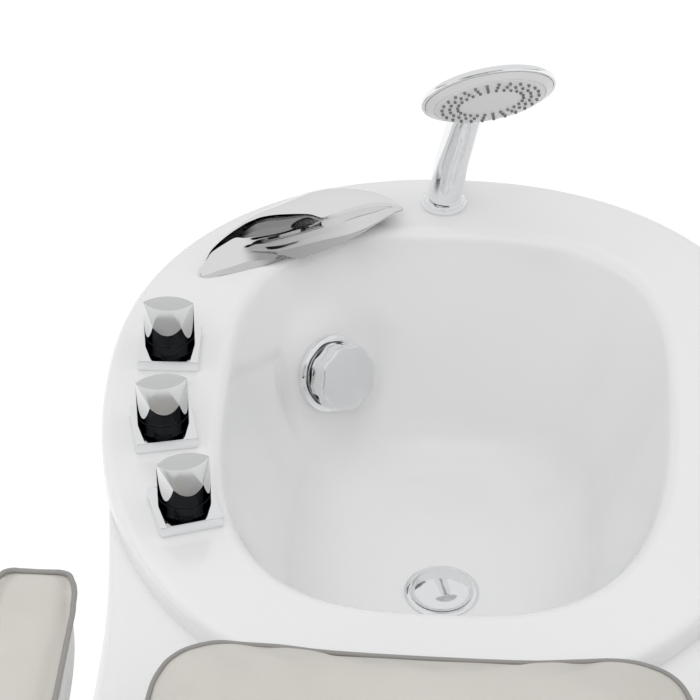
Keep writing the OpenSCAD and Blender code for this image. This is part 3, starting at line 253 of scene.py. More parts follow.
def drawn(name, rings, loop=False):
    """A skin drawn out ring by ring: a circle, and each next ring an extrusion of the last."""
    piece = primitive(bpy.ops.mesh.primitive_circle_add, name, vertices=len(rings[0]),
                      fill_type="NOTHING")
    for vertex, point in zip(piece.data.vertices, rings[0]):
        vertex.co = point
    bpy.ops.object.mode_set(mode="EDIT")
    bpy.ops.mesh.select_mode(type="EDGE")
    bpy.ops.mesh.select_all(action="SELECT")
    for ring in rings[1:]:
        bpy.ops.mesh.extrude_region_move()
        mesh = bmesh.from_edit_mesh(piece.data)
        mesh.verts.ensure_lookup_table()
        for vertex, point in zip(mesh.verts[-len(ring):], ring):
            vertex.co = point
    bmesh.update_edit_mesh(piece.data)
    bpy.ops.mesh.select_all(action="DESELECT")
    bpy.ops.mesh.select_non_manifold(extend=False)
    if loop:
        bpy.ops.mesh.bridge_edge_loops()
    else:
        bpy.ops.mesh.fill_holes(sides=0)
    bpy.ops.mesh.select_all(action="SELECT")
    bpy.ops.mesh.normals_make_consistent(inside=False)
    bpy.ops.object.mode_set(mode="OBJECT")
    bpy.ops.object.shade_smooth()
    return piece

def smoothed(degrees):
    """Smooth shading, with sharp edges where the surface turns by more than this."""
    bpy.ops.object.shade_smooth_by_angle(angle=math.radians(degrees))

def only(piece):
    """Makes a piece the one selected and active object."""
    bpy.ops.object.select_all(action="DESELECT")
    bpy.context.view_layer.objects.active = piece
    piece.select_set(True)

def applied(piece, kind, **settings):
    """Adds one modifier with these settings and applies it."""
    modifier = piece.modifiers.new(kind.lower(), kind)
    for key, value in settings.items():
        setattr(modifier, key, value)
    only(piece)
    bpy.ops.object.modifier_apply(modifier=modifier.name)

def bevelled(piece, width, segments, degrees):
    """Rounds the edges that turn by more than this."""
    applied(piece, "BEVEL", width=width, segments=segments, limit_method="ANGLE",
            angle_limit=math.radians(degrees))

def cut_away(piece, cutter):
    """Takes one piece out of another."""
    applied(piece, "BOOLEAN", operation="DIFFERENCE", object=cutter, solver="EXACT")
    bpy.data.objects.remove(cutter)

def cut_round(piece, place, diameter, low, high):
    """Bores a round hole through a closed piece, along the place's Z axis."""
    cutter = primitive(bpy.ops.mesh.primitive_cylinder_add, "cutter", vertices=64,
                       radius=diameter / 2, depth=high - low)
    cutter.data.transform(place @ Matrix.Translation((0, 0, (low + high) / 2)))
    cut_away(piece, cutter)

def finish_piece(piece, body, slot, material, *solids):
    """Gives a piece its material, its body and the solids that it stands for; its slot is not used.
    """
    if material:
        piece.data.materials.clear()
        piece.data.materials.append(material)
    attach(piece, body)
    if solids:
        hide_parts(*solids)

under_steps = basin_steps(skin, 5, 12, 8)
inner_steps = basin_steps(0.0, 8, 16, 12)
floor_z = rim_z - basin_depth
rings = [floor_ring(floor_z - skin)]
rings += [mouth_ring(inset, z, skin) for inset, z in reversed(under_steps)]
rings += [rim_ring(lip_radius + 0.008, rim_z - skin), rim_ring(skin, rim_z - lip_radius - 0.008),
          rim_ring(skin, rim_z - lip_drop + 0.001), rim_ring(skin, rim_z - lip_drop),
          rim_ring(0.0, rim_z - lip_drop), rim_ring(0.0, rim_z - lip_drop + 0.001)]
for i in range(7):
    turn = math.radians(15 * i)
    rings.append(rim_ring(lip_radius * (1 - math.cos(turn)),
                          rim_z - lip_radius * (1 - math.sin(turn))))
rings.append(rim_ring(0.030, rim_z))
rings += [mouth_ring(inset, z) for inset, z in inner_steps]
rings.append(floor_ring(floor_z))
bath = drawn("foot_bath_skin", rings)
drain_place = Matrix.Translation((0, tub_y + 0.046, floor_z))
for place, bore in ((drain_place, 0.056), (overflow_place, 0.052), (jet_place, 0.084)):
    cut_round(bath, place, bore, -0.03, 0.03)
smoothed(35)

def clouded(material, scale, detail, dark, light):
    """Lets the material's colour drift between two tones."""
    tree = material.node_tree
    cloud = added(tree, "TexNoise", Scale=scale, Detail=detail)
    tint = added(tree, "ValToRGB")
    for element, position, colour in zip(tint.color_ramp.elements, (0.3, 0.7), (dark, light)):
        element.position, element.color = position, (*colour, 1)
    wired(tree, (added(tree, "TexCoord"), "Object", cloud, "Vector"), (cloud, "Fac", tint, "Fac"),
          (tint, "Color", tree.nodes["Principled BSDF"], "Base Color"))

def grained(material, strength, distance, kind="TexNoise", output="Fac", feature=None, **values):
    """Gives the material a fine bump from a texture."""
    tree = material.node_tree
    grain = added(tree, kind, **values)
    if feature:
        grain.feature = feature
    bump = added(tree, "Bump", Strength=strength, Distance=distance)
    wired(tree, (added(tree, "TexCoord"), "Object", grain, "Vector"),
          (grain, output, bump, "Height"),
          (bump, "Normal", tree.nodes["Principled BSDF"], "Normal"))

gelcoat = paint("white_gelcoat", (0.8, 0.8, 0.8), 0.22)
clouded(gelcoat, 2.2, 3.0, (0.855, 0.857, 0.860), (0.880, 0.880, 0.880))
grained(gelcoat, 0.02, 0.0004, Scale=420.0, Detail=1.0)
surface = gelcoat.node_tree.nodes["Principled BSDF"]
surface.inputs["Coat Weight"].default_value = 0.6
surface.inputs["Coat Roughness"].default_value = 0.06
finish_piece(bath, "base", "gelcoat", gelcoat, "foot_bath")

# ---- Base shell and seat plinth -----------------------------------------------
# The chair's white outer moulding: it follows the rim at the front, draws in beside the
# seat and ends in a square rear with round corners. A recessed toe band runs round its foot.
base_half, base_rear, corner = 0.300, 1.130, 0.090
side_half, side_front = half_width - 0.006, rim_front - 0.007
deck_z, wall = rim_z - lip_drop, 0.005
draw_in = 0.360                          # length over which the sides draw in
tub_round, rear_growth = 0.005, 0.021    # the shoulder's radius, and how much it grows
round_from, round_run = 0.200, 0.220     # where it starts to grow, and over what length
hole_side, hole_end = 0.079, 0.076       # how far the deck's hole clears the basin's mouth

def base_outline(inset):
    """Plan points of the base, one way round, with even steps along its sides."""
    points = []
    for i in range(72):
        a = math.pi + math.pi * i / 72
        points.append(egg(a, side_half - inset, side_front - inset, side_front, rim_power))
    side = []
    for i in range(48):
        y = (base_rear - corner) * (i / 48) ** 1.2
        side.append((side_half + (base_half - side_half) * ease(y / draw_in) - inset, y))
    for i in range(13):
        a = math.radians(90 * i / 12)
        side.append((base_half - corner + (corner - inset) * math.cos(a),
                     base_rear - corner + (corner - inset) * math.sin(a)))
    for i in range(1, 6):
        side.append(((base_half - corner) * (1 - i / 6), base_rear - inset))
    points += side + [(0.0, base_rear - inset)]
    points += [(-x, y) for x, y in reversed(side)][:-1]
    return points

outline = base_outline(0.0)

def base_ring(inset, z):
    return level(base_outline(inset), z)

def shoulder_ring(turn, under):
    """The shell's rounded upper edge, which grows from the tub's side to the square rear."""
    ring = []
    steps = {}
    for i, (x, y) in enumerate(outline):
        r = tub_round + rear_growth * ease((y - round_from) / round_run) - under / 2
        key = round(under + r * (1 - math.cos(turn)), 6)
        if key not in steps:
            steps[key] = base_outline(key)
        px, py = steps[key][i]
        ring.append(Vector((px, py + tub_y, deck_z - under - r * (1 - math.sin(turn)))))
    return ring

def deck_edge(z):
    """The opening in the deck that the basin hangs through."""
    return level([egg(math.atan2(y, x), mouth_half + hole_side, mouth_front + hole_end,
                      mouth_rear + hole_end, rim_power) for x, y in outline], z)

outer = [(0.028, 0.010), (0.0275, 0.014), (0.025, 0.060), (0.024, 0.070), (0.021, 0.080),
         (0.013, 0.100), (0.006, 0.120), (0.003, 0.140), (0.001, 0.180), (0.0, 0.220),
         (0.0, 0.400)]
rings = [base_ring(inset, z) for inset, z in outer]
rings += [shoulder_ring(math.radians(a), 0.0) for a in range(0, 91, 15)]
rings += [deck_edge(deck_z), deck_edge(deck_z - wall)]
rings += [shoulder_ring(math.radians(a), wall) for a in (90, 60, 30, 0)]
rings += [base_ring(inset + wall, z) for inset, z in reversed(outer) if z > 0.012]
rings.append(base_ring(0.028 + wall, 0.010))
shell = drawn("base_shell_skin", rings, loop=True)
smoothed(40)
finish_piece(shell, "base", "gelcoat", gelcoat, "base_shell")

def squircle(half_x, half_y, power, count):
    """Plan points of a rectangle with round, continuous corners."""
    points = []
    for i in range(count):
        a = 2 * math.pi * i / count
        c, s = math.cos(a), math.sin(a)
        points.append((math.copysign(abs(c) ** (2 / power), c) * half_x,
                       math.copysign(abs(s) ** (2 / power), s) * half_y))
    return points

plinth_y, plinth_top = 0.800 + tub_y, 0.497

def plinth_ring(inset, z):
    return level(squircle(0.262 - inset, 0.295 - inset, 6, 144), z, plinth_y)

rings = [plinth_ring(*step) for step in (
    (0.060, plinth_top - 0.005), (0.030, plinth_top - 0.005), (0.011, plinth_top - 0.009),
    (0.007, deck_z + 0.008), (0.005, deck_z + 0.0002), (0.0, deck_z + 0.0002),
    (0.0005, deck_z + 0.002), (0.002, deck_z + 0.008), (0.006, plinth_top - 0.012),
    (0.0072, plinth_top - 0.008), (0.010, plinth_top - 0.004), (0.014, plinth_top - 0.0014),
    (0.022, plinth_top - 0.0001), (0.060, plinth_top - 0.0001))]
plinth = drawn("seat_plinth_skin", rings)
smoothed(40)
finish_piece(plinth, "base", "gelcoat", gelcoat, "seat_plinth")

# ---- Control plates, collars and knobs ------------------------------------------
# Three brass valves stand through the rim. Each has a square polished plate held by a
# black-chrome collar, whose black is a painted dark reflection, and a round zinc knob cut by six
# leaning facets to a leaf-shaped top. Painted reflection darkens the knob's facets towards their
# foot and its upright side band; painted shade darkens its flat top.
def placed(x, y, z, turn=0.0):
    """A place given from the bath's widest line, turned about the vertical."""
    return Matrix.Translation((x, y + tub_y, z)) @ Matrix.Rotation(math.radians(turn), 4, "Z")

def circle(count):
    """Directions of a circle's points."""
    return [(math.cos(2 * math.pi * i / count), math.sin(2 * math.pi * i / count))
            for i in range(count)]

def revolved(profile, count=96):
    """Rings of a turned part from its (radius, height) profile."""
    return [[Vector((r * c, r * s, z)) for c, s in circle(count)] for r, z in profile]

def turned(name, place, profile, loop=False, count=96, sharp=30):
    """A part turned on a lathe, from millimetres: closed at its poles, or a ring with a bore."""
    piece = drawn(name, revolved([(r / 1000, z / 1000) for r, z in profile], count), loop)
    piece.data.transform(place)
    smoothed(sharp)
    return piece

def joined(name, pieces):
    """Joins pieces into the first one and names it."""
    bpy.ops.object.select_all(action="DESELECT")
    for piece in pieces:
        piece.select_set(True)
    bpy.context.view_layer.objects.active = pieces[0]
    if len(pieces) > 1:
        bpy.ops.object.join()
    pieces[0].name = pieces[0].data.name = name
    return pieces[0]

def copied(piece):
    """A copy of a piece with a mesh of its own."""
    copy = piece.copy()
    copy.data = piece.data.copy()
    bpy.context.collection.objects.link(copy)
    return copy

def sliced(point, normal):
    """Cuts the piece in edit mode by a plane and closes the cut with a flat face."""
    bpy.ops.mesh.select_all(action="SELECT")
    bpy.ops.mesh.bisect(plane_co=point, plane_no=normal, use_fill=True, clear_outer=True,
                        threshold=0.000001)

chrome = paint("polished_chrome", (0.88, 0.89, 0.90), 0.035, 1.0)
# Black chrome: its black on the knob collars and the knobs' side bands is a painted dark
# reflection.
black_chrome_and_painted_reflection = paint("black_chrome_and_painted_reflection", (0.020, 0.021, 0.023), 0.06, 1.0)
surface = black_chrome_and_painted_reflection.node_tree.nodes["Principled BSDF"]
surface.inputs["Specular Tint"].default_value = (0.06, 0.06, 0.06, 1)
# A darker copy of the chrome for the knob's flat top: a painted shade that sets the top off from
# the facets.
leaf_chrome_painted_shade = paint("leaf_chrome_painted_shade", (0.66, 0.665, 0.67), 0.07, 1.0)
# The knob's chrome is painted with a reflection by height: darker towards the foot of its facets,
# lighter towards the top.
cast_chrome_painted_reflection = paint("cast_chrome_painted_reflection", (0.78, 0.79, 0.80), 0.20, 1.0)
tree = cast_chrome_painted_reflection.node_tree
part, facet_painted_reflection = added(tree, "SeparateXYZ"), added(tree, "ValToRGB")
height = added(tree, "MapRange", From_Min=rim_z + 0.036, From_Max=rim_z + 0.063)
facet_painted_reflection.color_ramp.elements[0].color = (0.56, 0.565, 0.57, 1)
facet_painted_reflection.color_ramp.elements[1].color = (0.84, 0.845, 0.85, 1)
wired(tree, (added(tree, "TexCoord"), "Object", part, 0), (part, "Z", height, "Value"),
      (height, 0, facet_painted_reflection, "Fac"),
      (facet_painted_reflection, "Color", tree.nodes["Principled BSDF"], "Base Color"))
plate_side, plate_thick, collar_high = 0.060, 0.012, 0.013
knob_radius, knob_foot, knob_top, leaf_half = 0.025, 0.0146, 0.051, 0.011
broad_lean, side_lean, side_turn = math.radians(32), math.radians(6.6), math.radians(58)
roof_lean = math.radians(5)
tip_reach = knob_radius * math.sin(side_turn)
leaf_radius = (knob_radius ** 2 + leaf_half ** 2) / (2 * leaf_half)
fan_drop, spare = 0.0155, 0.004          # spare height is sliced off with the roof
controls = (("hot", placed(0.280, -0.018, rim_z, 2)),
            ("diverter", placed(0.272, 0.105, rim_z, 14)),
            ("cold", placed(0.238, 0.221, rim_z, 20)))

knob_blank = primitive(bpy.ops.mesh.primitive_cylinder_add, "knob_blank", vertices=144,
                       radius=knob_radius, depth=knob_top - knob_foot + spare,
                       location=(0, 0, (knob_top + knob_foot + spare) / 2))
bpy.ops.object.mode_set(mode="EDIT")
for turn in (0.0, math.pi):
    for angle, reach, lean in ((turn, leaf_half, broad_lean),
                               (turn + side_turn, tip_reach, side_lean),
                               (turn - side_turn, tip_reach, side_lean)):
        spin = Matrix.Rotation(angle, 3, "Z")
        sliced(spin @ Vector((0, reach, knob_top)),
               spin @ Vector((0, math.cos(lean), math.sin(lean))))
    across = leaf_half + fan_drop * math.tan(broad_lean)
    short = tip_reach + fan_drop * math.tan(side_lean)
    aside = (across * math.cos(side_turn) - short) / math.sin(side_turn)
    spin = Matrix.Rotation(turn, 3, "Z")
    for side in (-1, 1):
        foot = Vector((side * -aside, across, knob_top - fan_drop))
        for angle in (10, 20, 30, 40):
            a = math.radians(angle)
            top = Vector((side * leaf_radius * math.sin(a),
                          leaf_half - leaf_radius * (1 - math.cos(a)), knob_top))
            out = Vector((math.cos(a), -side * math.sin(a), 0)).cross(foot - top)
            if out.dot(Vector((side * math.sin(a), math.cos(a), 0))) < 0:
                out.negate()
            sliced(spin @ top, spin @ out.normalized())
    sliced(Vector((0, 0, knob_top)),
           spin @ Vector((0, math.sin(roof_lean), math.cos(roof_lean))))
bpy.ops.object.mode_set(mode="OBJECT")
bevelled(knob_blank, 0.00035, 2, 20)
smoothed(16)
for material in (cast_chrome_painted_reflection, black_chrome_and_painted_reflection, leaf_chrome_painted_shade):
    knob_blank.data.materials.append(material)
for face in knob_blank.data.polygons:
    out = math.hypot(face.center.x, face.center.y)
    # The knob's upright side band gets the black chrome: a painted dark reflection.
    if abs(face.normal.z) < 0.05 and out > knob_radius - 0.0004:
        face.material_index = 1
    # The knob's flat top gets the darker copy of the chrome: a painted shade.
    elif face.normal.z > 0.9:
        face.material_index = 2

collars = []
for name, place in controls:
    plate = primitive(bpy.ops.mesh.primitive_cube_add, name + "_square_plate", size=1.0,
                      location=(0, 0, plate_thick / 2),
                      scale=(plate_side, plate_side, plate_thick))
    bevelled(plate, 0.0007, 3, 40)
    plate.data.transform(place)
    smoothed(30)
    finish_piece(plate, "base", "chrome", chrome, name + "_plate")

    r, low, high = (1000 * size for size in (knob_radius, plate_thick, plate_thick + collar_high))
    collars.append(turned(name + "_collar", place, (
        (12.2, low), (r - 0.5, low), (r, low + 0.5), (r, high - 0.6), (r - 0.6, high),
        (12.2, high)), loop=True, count=128))

    lift = place @ Matrix.Translation((0, 0, plate_thick))
    knob = copied(knob_blank)
    knob.data.transform(lift)
    neck = turned("neck", lift, (
        (0.1, -27), (5, -27), (5, 13.4), (22.5, 13.4), (22.5, 15), (0.1, 15)))
    neck.data.materials.append(chrome)
    knob = joined(name + "_faceted_knob", [knob, neck])
    finish_piece(knob, name + "_knob", "chrome", None, name + "_knob")
bpy.data.objects.remove(knob_blank)
finish_piece(joined("black_collars", collars), "base", "dark_chrome", black_chrome_and_painted_reflection, "knob_collars")

# ---- Waterfall spout --------------------------------------------------------------
# A cast and polished brass shell, chromed: it rises from a point to a sharp crest, hollows
# under the crest, and runs out as a shallow trough over the basin's edge.
spout_place = placed(0.262, -0.150, rim_z, 201.1)
back_foot = ((-4, 4, 0), (0, 9, 0), (6, 15, 0), (14, 24, 0), (26, 38, 0), (40, 51, 0), (60, 62, 0),
             (80, 71, 0), (100, 77, 0), (120, 82, 0), (140, 84, 0), (160, 83, 0), (178, 78, 1),
             (192, 70, 3), (205, 58, 6), (215, 46, 10), (222, 35, 14), (226, 28, 16.6))
shoulder = ((-4, 3.6, 3.2), (0, 7.5, 6), (6, 12.5, 9), (14, 20, 14), (26, 29, 18), (40, 40, 20),
            (57, 47, 24), (73, 52, 28), (87, 54.5, 30.5), (112, 67.5, 28.5), (138, 78, 27),
            (161, 80.5, 26), (180, 77, 25), (197, 68.5, 24), (210, 59, 23), (220, 45, 22),
            (226, 29.6, 20.4))
crest = ((-4, 1.6, 4.4), (0, 5, 7), (6, 9.5, 10.5), (14, 18, 16), (26, 24, 21), (40, 29.3, 26),
         (57, 35, 30), (73, 37, 33), (87.3, 34.2, 35), (100, 31, 35.2), (110.7, 28.5, 35),
         (125.5, 26.4, 33), (133, 22.9, 30), (136.6, 22.7, 27.6), (148, 28, 27), (161.7, 32, 27),
         (178.2, 36, 26.6), (195, 38, 25.8), (210, 37.5, 24.4), (220, 33, 22.4), (226, 28, 21.2))
tongue = ((40, 29, 19), (47.6, 28.5, 17), (60, 26.5, 17), (69, 24.5, 17.5), (95.5, 21.9, 18),
          (115.4, 24, 20), (126.6, 21.8, 22.5), (136.5, 21.7, 26.2), (148, 25.5, 26),
          (161.7, 28, 26.2), (178.2, 31, 26.2), (191.3, 32, 25.5), (208, 32.5, 24),
          (219, 29.6, 22.2), (226, 26.8, 20.7))
trough_edge = ((50, 14.5, 14), (57, 16, 15.5), (60, 18.5, 17), (71.3, 20.5, 17.5),
               (89.8, 20.3, 18.2), (115, 22, 20.3), (136.5, 21, 24.8), (161.7, 26, 25.3),
               (178.2, 29, 25.3), (191.3, 30.3, 24.7), (208, 31, 23.3), (219, 28.4, 21.7),
               (226, 25.9, 20.2))
trough_front = ((50, 12, 12.5), (55, 10.4, 12), (66, 7.5, 11), (84.8, 3.8, 10), (100, 4.8, 10.4),
                (118.2, 6.3, 11), (137, 6, 12.5), (150, 3.6, 14.5), (163, 2.5, 16.5),
                (186.5, 7, 19), (204.6, 15.4, 20.6), (215, 20.5, 21), (222, 24, 20.4),
                (226, 25.2, 19.4))
lip = ((50, 11, 11.5), (55, 9.6, 10.5), (73.2, 5, 8), (84.1, 1.2, 6), (94.5, -4.2, 5),
       (103.9, -9.3, 4), (116, -8, 6), (136, -7.4, 9), (150, -4.5, 11.5), (160.6, -2.2, 13.2),
       (175, 1.5, 15.5), (186.5, 5.8, 17.4), (204.6, 14.3, 19), (215, 19.6, 19.4), (222, 23, 19),
       (226, 24.6, 18.6))
front_foot = ((-4, -3.5, 0), (0, -6, 0), (6.8, -8, 0), (29.4, -7.9, 0), (60.5, -5, 0),
              (75, -2.5, 0), (90, 2.5, 0), (100, 8, 0), (112, 15, 0), (125, 20, 0), (140, 25, 0),
              (160, 32, 0), (178, 38, 2), (192, 38, 5), (205, 34, 9), (215, 30, 13),
              (222, 27, 15.5), (226, 25.6, 16.4))
spout_stops = (-2, 0, 3, 6, 10, 14, 20, 26, 32, 38, 44, 48, 52, 55, 58, 62, 68, 74, 82, 90, 97, 104,
               111, 118, 124, 130, 134, 138, 145, 152, 160, 168, 176, 184, 192, 200, 206, 212, 217,
               221, 224, 226)

def edge_at(edge, u):
    """Offset and height of one of the spout's edges at a distance along it."""
    if u <= edge[0][0]:
        return Vector(edge[0][1:])
    for (u0, *low), (u1, *high) in zip(edge, edge[1:]):
        if u <= u1:
            return Vector(low).lerp(Vector(high), (u - u0) / (u1 - u0))
    return Vector(edge[-1][1:])

def spout_section(u):
    """Closed section: up the back, under the crest, through the trough and down the lip."""
    opened = ease((u - 38) / 14)
    scoop = ease((u - 50) / 22) * ease((139 - u) / 16)
    deep = ease((u - 52) / 26) * (1 - ease((u - 190) / 34))
    ends = ease(u / 20) * (1 - ease((u - 200) / 26))
    a, b, c, f = (edge_at(edge, u) for edge in (back_foot, shoulder, crest, front_foot))
    ledge = 8.0 * ease((u + 2) / 44)

    def nose(s):
        """The blunt front of the left end, below a small ledge under the crest."""
        return Vector((c.x - 0.5 + (f.x - c.x + 0.5) * s, (c.y - ledge) * (1 - s ** 1.35)))

    d, t, r, l = (nose(s).lerp(edge_at(edge, u), opened) for s, edge in
                  ((0.0, tongue), (0.40, trough_edge), (0.52, trough_front), (0.57, lip)))
    hump = ease(u / 60) * (1 - ease((u - 170) / 55))
    points = [a, a.lerp(b, 0.55) + ends * Vector((2.5, 3)), b,
              b.lerp(c, 0.5) + hump * Vector((0, 3.2)), c,
              c.lerp(d, 0.25) + scoop * Vector((7, -1)), c.lerp(d, 0.6) + scoop * Vector((11, 1)),
              c.lerp(d, 0.85) + scoop * Vector((7, 0)), d, t,
              t.lerp(r, 0.18) + deep * Vector((0.5, -5.5)),
              t.lerp(r, 0.55) + deep * Vector((0, -3.2)), r, l,
              l.lerp(f, 0.5) + ends * Vector((-1.5, 1 - opened)), f, (a + f) / 2]
    return [Vector((u, p.x, p.y)) / 1000 for p in points]

section_points = 17

def spout_end(u, across, up, half_across, half_up):
    """The small closing ring at an end of the spout."""
    turns = [math.radians(360 / section_points * i - 40) for i in range(section_points)]
    return [Vector((u, across + half_across * math.cos(a), up + half_up * math.sin(a))) / 1000
            for a in turns]

def spout_painted_reflection(band, u):
    """Painted reflection and shade on one band of the section: black under the crest, grey in the
    trough.
    """
    steps = {4: ((6, 0.85), (12, 0.01), (104, 0.01), (118, 0.3), (138, 0.6), (150, 0.85)),
             5: ((6, 0.85), (12, 0.01), (70, 0.02), (84, 0.28), (138, 0.3), (148, 0.8)),
             6: ((6, 0.85), (12, 0.02), (54, 0.02), (66, 0.27), (138, 0.3), (148, 0.8)),
             7: ((6, 0.85), (12, 0.02), (50, 0.02), (60, 0.30), (138, 0.33), (148, 0.8)),
             8: ((52, 0.85), (74, 0.5), (138, 0.6), (160, 0.8)),
             9: ((48, 0.85), (50, 0.01), (70, 0.01), (78, 0.4), (110, 0.5), (150, 0.75)),
             10: ((46, 0.85), (54, 0.45), (90, 0.48), (130, 0.6), (170, 0.8)),
             11: ((46, 0.85), (54, 0.45), (90, 0.5), (130, 0.65), (170, 0.8)),
             12: ((46, 0.85), (56, 0.4), (100, 0.42), (150, 0.5), (190, 0.6), (215, 0.8)),
             13: ((46, 0.85), (60, 0.4), (100, 0.36), (160, 0.42), (190, 0.5), (215, 0.6)),
             14: ((0, 0.7), (60, 0.62), (76, 0.34), (160, 0.38), (190, 0.4), (215, 0.6)),
             15: ((60, 0.6), (76, 0.04), (200, 0.04))}.get(band, ((0, 0.88),))
    if u <= steps[0][0]:
        return steps[0][1]
    for (u0, low), (u1, high) in zip(steps, steps[1:]):
        if u <= u1:
            return low + (high - low) * (u - u0) / (u1 - u0)
    return steps[-1][1]

spout = drawn("waterfall_spout", [spout_end(-4, 0.3, 2.4, 3.6, 2.2)]
              + [spout_section(u) for u in spout_stops] + [spout_end(227.2, 27, 18.7, 1.6, 1.8)])
bpy.ops.object.mode_set(mode="EDIT")
mesh = bmesh.from_edit_mesh(spout.data)
crease = mesh.edges.layers.float.new("crease_edge")
sharpness = {0: 0.9, 4: 0.95, 8: 0.85, 9: 0.85, 12: 0.6, 13: 0.8, 15: 0.9}
sharp_from = {8: 3, 9: 14, 12: 14, 13: 14}
for edge in mesh.edges:
    first, second = sorted(v.index for v in edge.verts)
    ring, column = divmod(first, section_points)
    if second - first == section_points and ring >= sharp_from.get(column, 1):
        edge[crease] = sharpness.get(column, 0.0)
bmesh.update_edit_mesh(spout.data)
bpy.ops.object.mode_set(mode="OBJECT")
stations = (-4,) + spout_stops + (227.2,)
# Each corner of the spout gets a grey tone of painted reflection and shade.
painted_reflection = spout.data.color_attributes.new("painted_reflection", "FLOAT_COLOR", "CORNER")
for face in spout.data.polygons:
    corners = [divmod(spout.data.loops[i].vertex_index, section_points) for i in face.loop_indices]
    columns = {column for ring, column in corners}
    band = section_points - 1 if columns == {0, section_points - 1} else min(columns)
    for i, (ring, column) in zip(face.loop_indices, corners):
        tone = spout_painted_reflection(band, stations[ring]) if len(columns) == 2 else 0.9
        painted_reflection.data[i].color = (tone, tone, tone, 1)
applied(spout, "SUBSURF", levels=2, render_levels=2)
spout.data.transform(spout_place)
smoothed(50)
# The spout's chrome takes its colour and edge tint from the painted reflection and shade.
spout_chrome = paint("spout_chrome", (0.88, 0.89, 0.90), 0.07, 1.0)
tree = spout_chrome.node_tree
surface, shade = tree.nodes["Principled BSDF"], added(tree, "VertexColor")
shade.layer_name = "painted_reflection"
wired(tree, (shade, "Color", surface, "Base Color"), (shade, "Color", surface, "Specular Tint"))
finish_piece(spout, "base", "chrome", spout_chrome, "spout_body")

# ---- Hand shower and its holder ------------------------------------------------------
# A two-step ring on the rim holds the handset: a round grip that bends into the back of a
# flat spray head, with a white spray plate and three rings of grey silicone nozzles.
shower_place = placed(0.0175, -0.296, rim_z)
holder = turned("shower_ring", shower_place, (
    (13.3, -60), (17, -60), (17, -16.5), (25, -16.5), (25, -6.2), (17.2, -6.2), (17.2, 0.1),
    (24.1, 0.1), (24.5, 0.5), (24.5, 3.3), (23.8, 4), (21.8, 4), (21.5, 4.4), (21.5, 7.2),
    (20.7, 8), (14, 8), (13.3, 7.3)), loop=True)
finish_piece(holder, "base", "chrome", chrome, "shower_holder")

head_centre = Vector((-0.0275, -0.221 + tub_y, rim_z + 0.190))
head_normal = Vector((-0.226, 0.777, -0.588)).normalized()
head_turn = head_normal.to_track_quat("Z", "Y").to_matrix().to_4x4()
head_place = Matrix.Translation(head_centre) @ head_turn
grip_stops = (((17.5, -296, 8.4), 16.4), ((17.4, -296, 9.2), 17.3), ((16.8, -295.9, 14), 18.0),
              ((14.5, -295.2, 28), 18.2), ((11.9, -294.3, 45), 18.2), ((9.3, -293.4, 61), 18.2),
              ((5.9, -291.7, 76), 18.1), ((2.8, -290.1, 90), 18.0), ((-0.2, -288.5, 103), 17.8),
              ((-3.3, -285.8, 117), 17.7), ((-6.5, -282, 130), 17.6), ((-9.1, -278.6, 139), 17.7),
              ((-11.5, -274.5, 147), 17.6), ((-13.4, -270.7, 153.1), 17.2),
              ((-15, -266.5, 158.5), 16.6), ((-17.2, -259.5, 165.1), 15.2),
              ((-19.4, -251.5, 171.3), 13.2), ((-21.1, -246, 175.9), 11.0),
              ((-22.6, -240.5, 180.3), 8.5), ((-25.4, -231, 187.9), 3))
rings = [[Vector((0.013 * c + 0.0175, 0.013 * s - 0.296, z)) for c, s in circle(64)]
         for z in (-0.0356, 0.008)]
for k, (centre, radius) in enumerate(grip_stops):
    before = Vector(grip_stops[max(k - 1, 0)][0])
    after = Vector(grip_stops[min(k + 1, len(grip_stops) - 1)][0])
    along = (after - before).normalized() if k else Vector((0, 0, 1))
    side = Vector((0, 1, 0)).cross(along).normalized()
    other = along.cross(side)
    rings.append([(Vector(centre) + radius * (c * side + s * other)) / 1000
                  for c, s in circle(64)])
grip = drawn("grip", rings)
grip.data.transform(Matrix.Translation((0, tub_y, rim_z)))
smoothed(40)
head = turned("spray_head", head_place, (
    (0.5, -15), (12, -14.8), (22, -14.2), (34, -12.8), (44, -11.2), (53, -9.2), (60, -7.3),
    (65, -5.8), (68, -4.3), (69.5, -2.4), (70, -0.4), (69.7, 1.2), (68.8, 2.3), (67.5, 2.6),
    (66.3, 2.2), (66, 1.2), (65.8, 0.5), (0.5, 0.5)),
    count=128, sharp=50)
finish_piece(joined("hand_shower_handset", [grip, head]), "hand_shower", "chrome", chrome,
             "hand_shower")

spray_white = paint("spray_plate_white", (0.82, 0.82, 0.82), 0.28)
plate = turned("spray_plate", head_place, (
    (0.5, 0.8), (65.5, 0.8), (65.7, 3), (64, 4.1), (61, 5.8), (58.8, 7.1), (58.2, 7.4), (57.6, 6.6),
    (57, 6.6), (56.5, 7.9), (55.5, 8.2), (40, 8.7), (20, 8.9), (0.5, 9)), count=128, sharp=35)
finish_piece(plate, "hand_shower", "white_plastic", spray_white, "shower_face")

nozzle = primitive(bpy.ops.mesh.primitive_cone_add, "nozzle", vertices=14, radius1=0.0019,
                   radius2=0.0014, depth=0.0034, location=(0, 0, 0.0017))
bevelled(nozzle, 0.0003, 2, 40)
nozzles = []
nozzle_count = 26
for ring_radius in (0.034, 0.042, 0.050):
    for i in range(nozzle_count):
        turn = 2 * math.pi * (i + 0.5) / nozzle_count
        spot = (ring_radius * math.cos(turn), ring_radius * math.sin(turn), 0.0074)
        nozzles.append(copied(nozzle))
        nozzles[-1].data.transform(head_place @ Matrix.Translation(spot))
bpy.data.objects.remove(nozzle)
nozzles = joined("spray_nozzles", nozzles)
smoothed(35)
silicone = paint("grey_silicone", (0.22, 0.225, 0.235), 0.55)
finish_piece(nozzles, "hand_shower", "nozzle_rubber", silicone, "shower_nozzles")

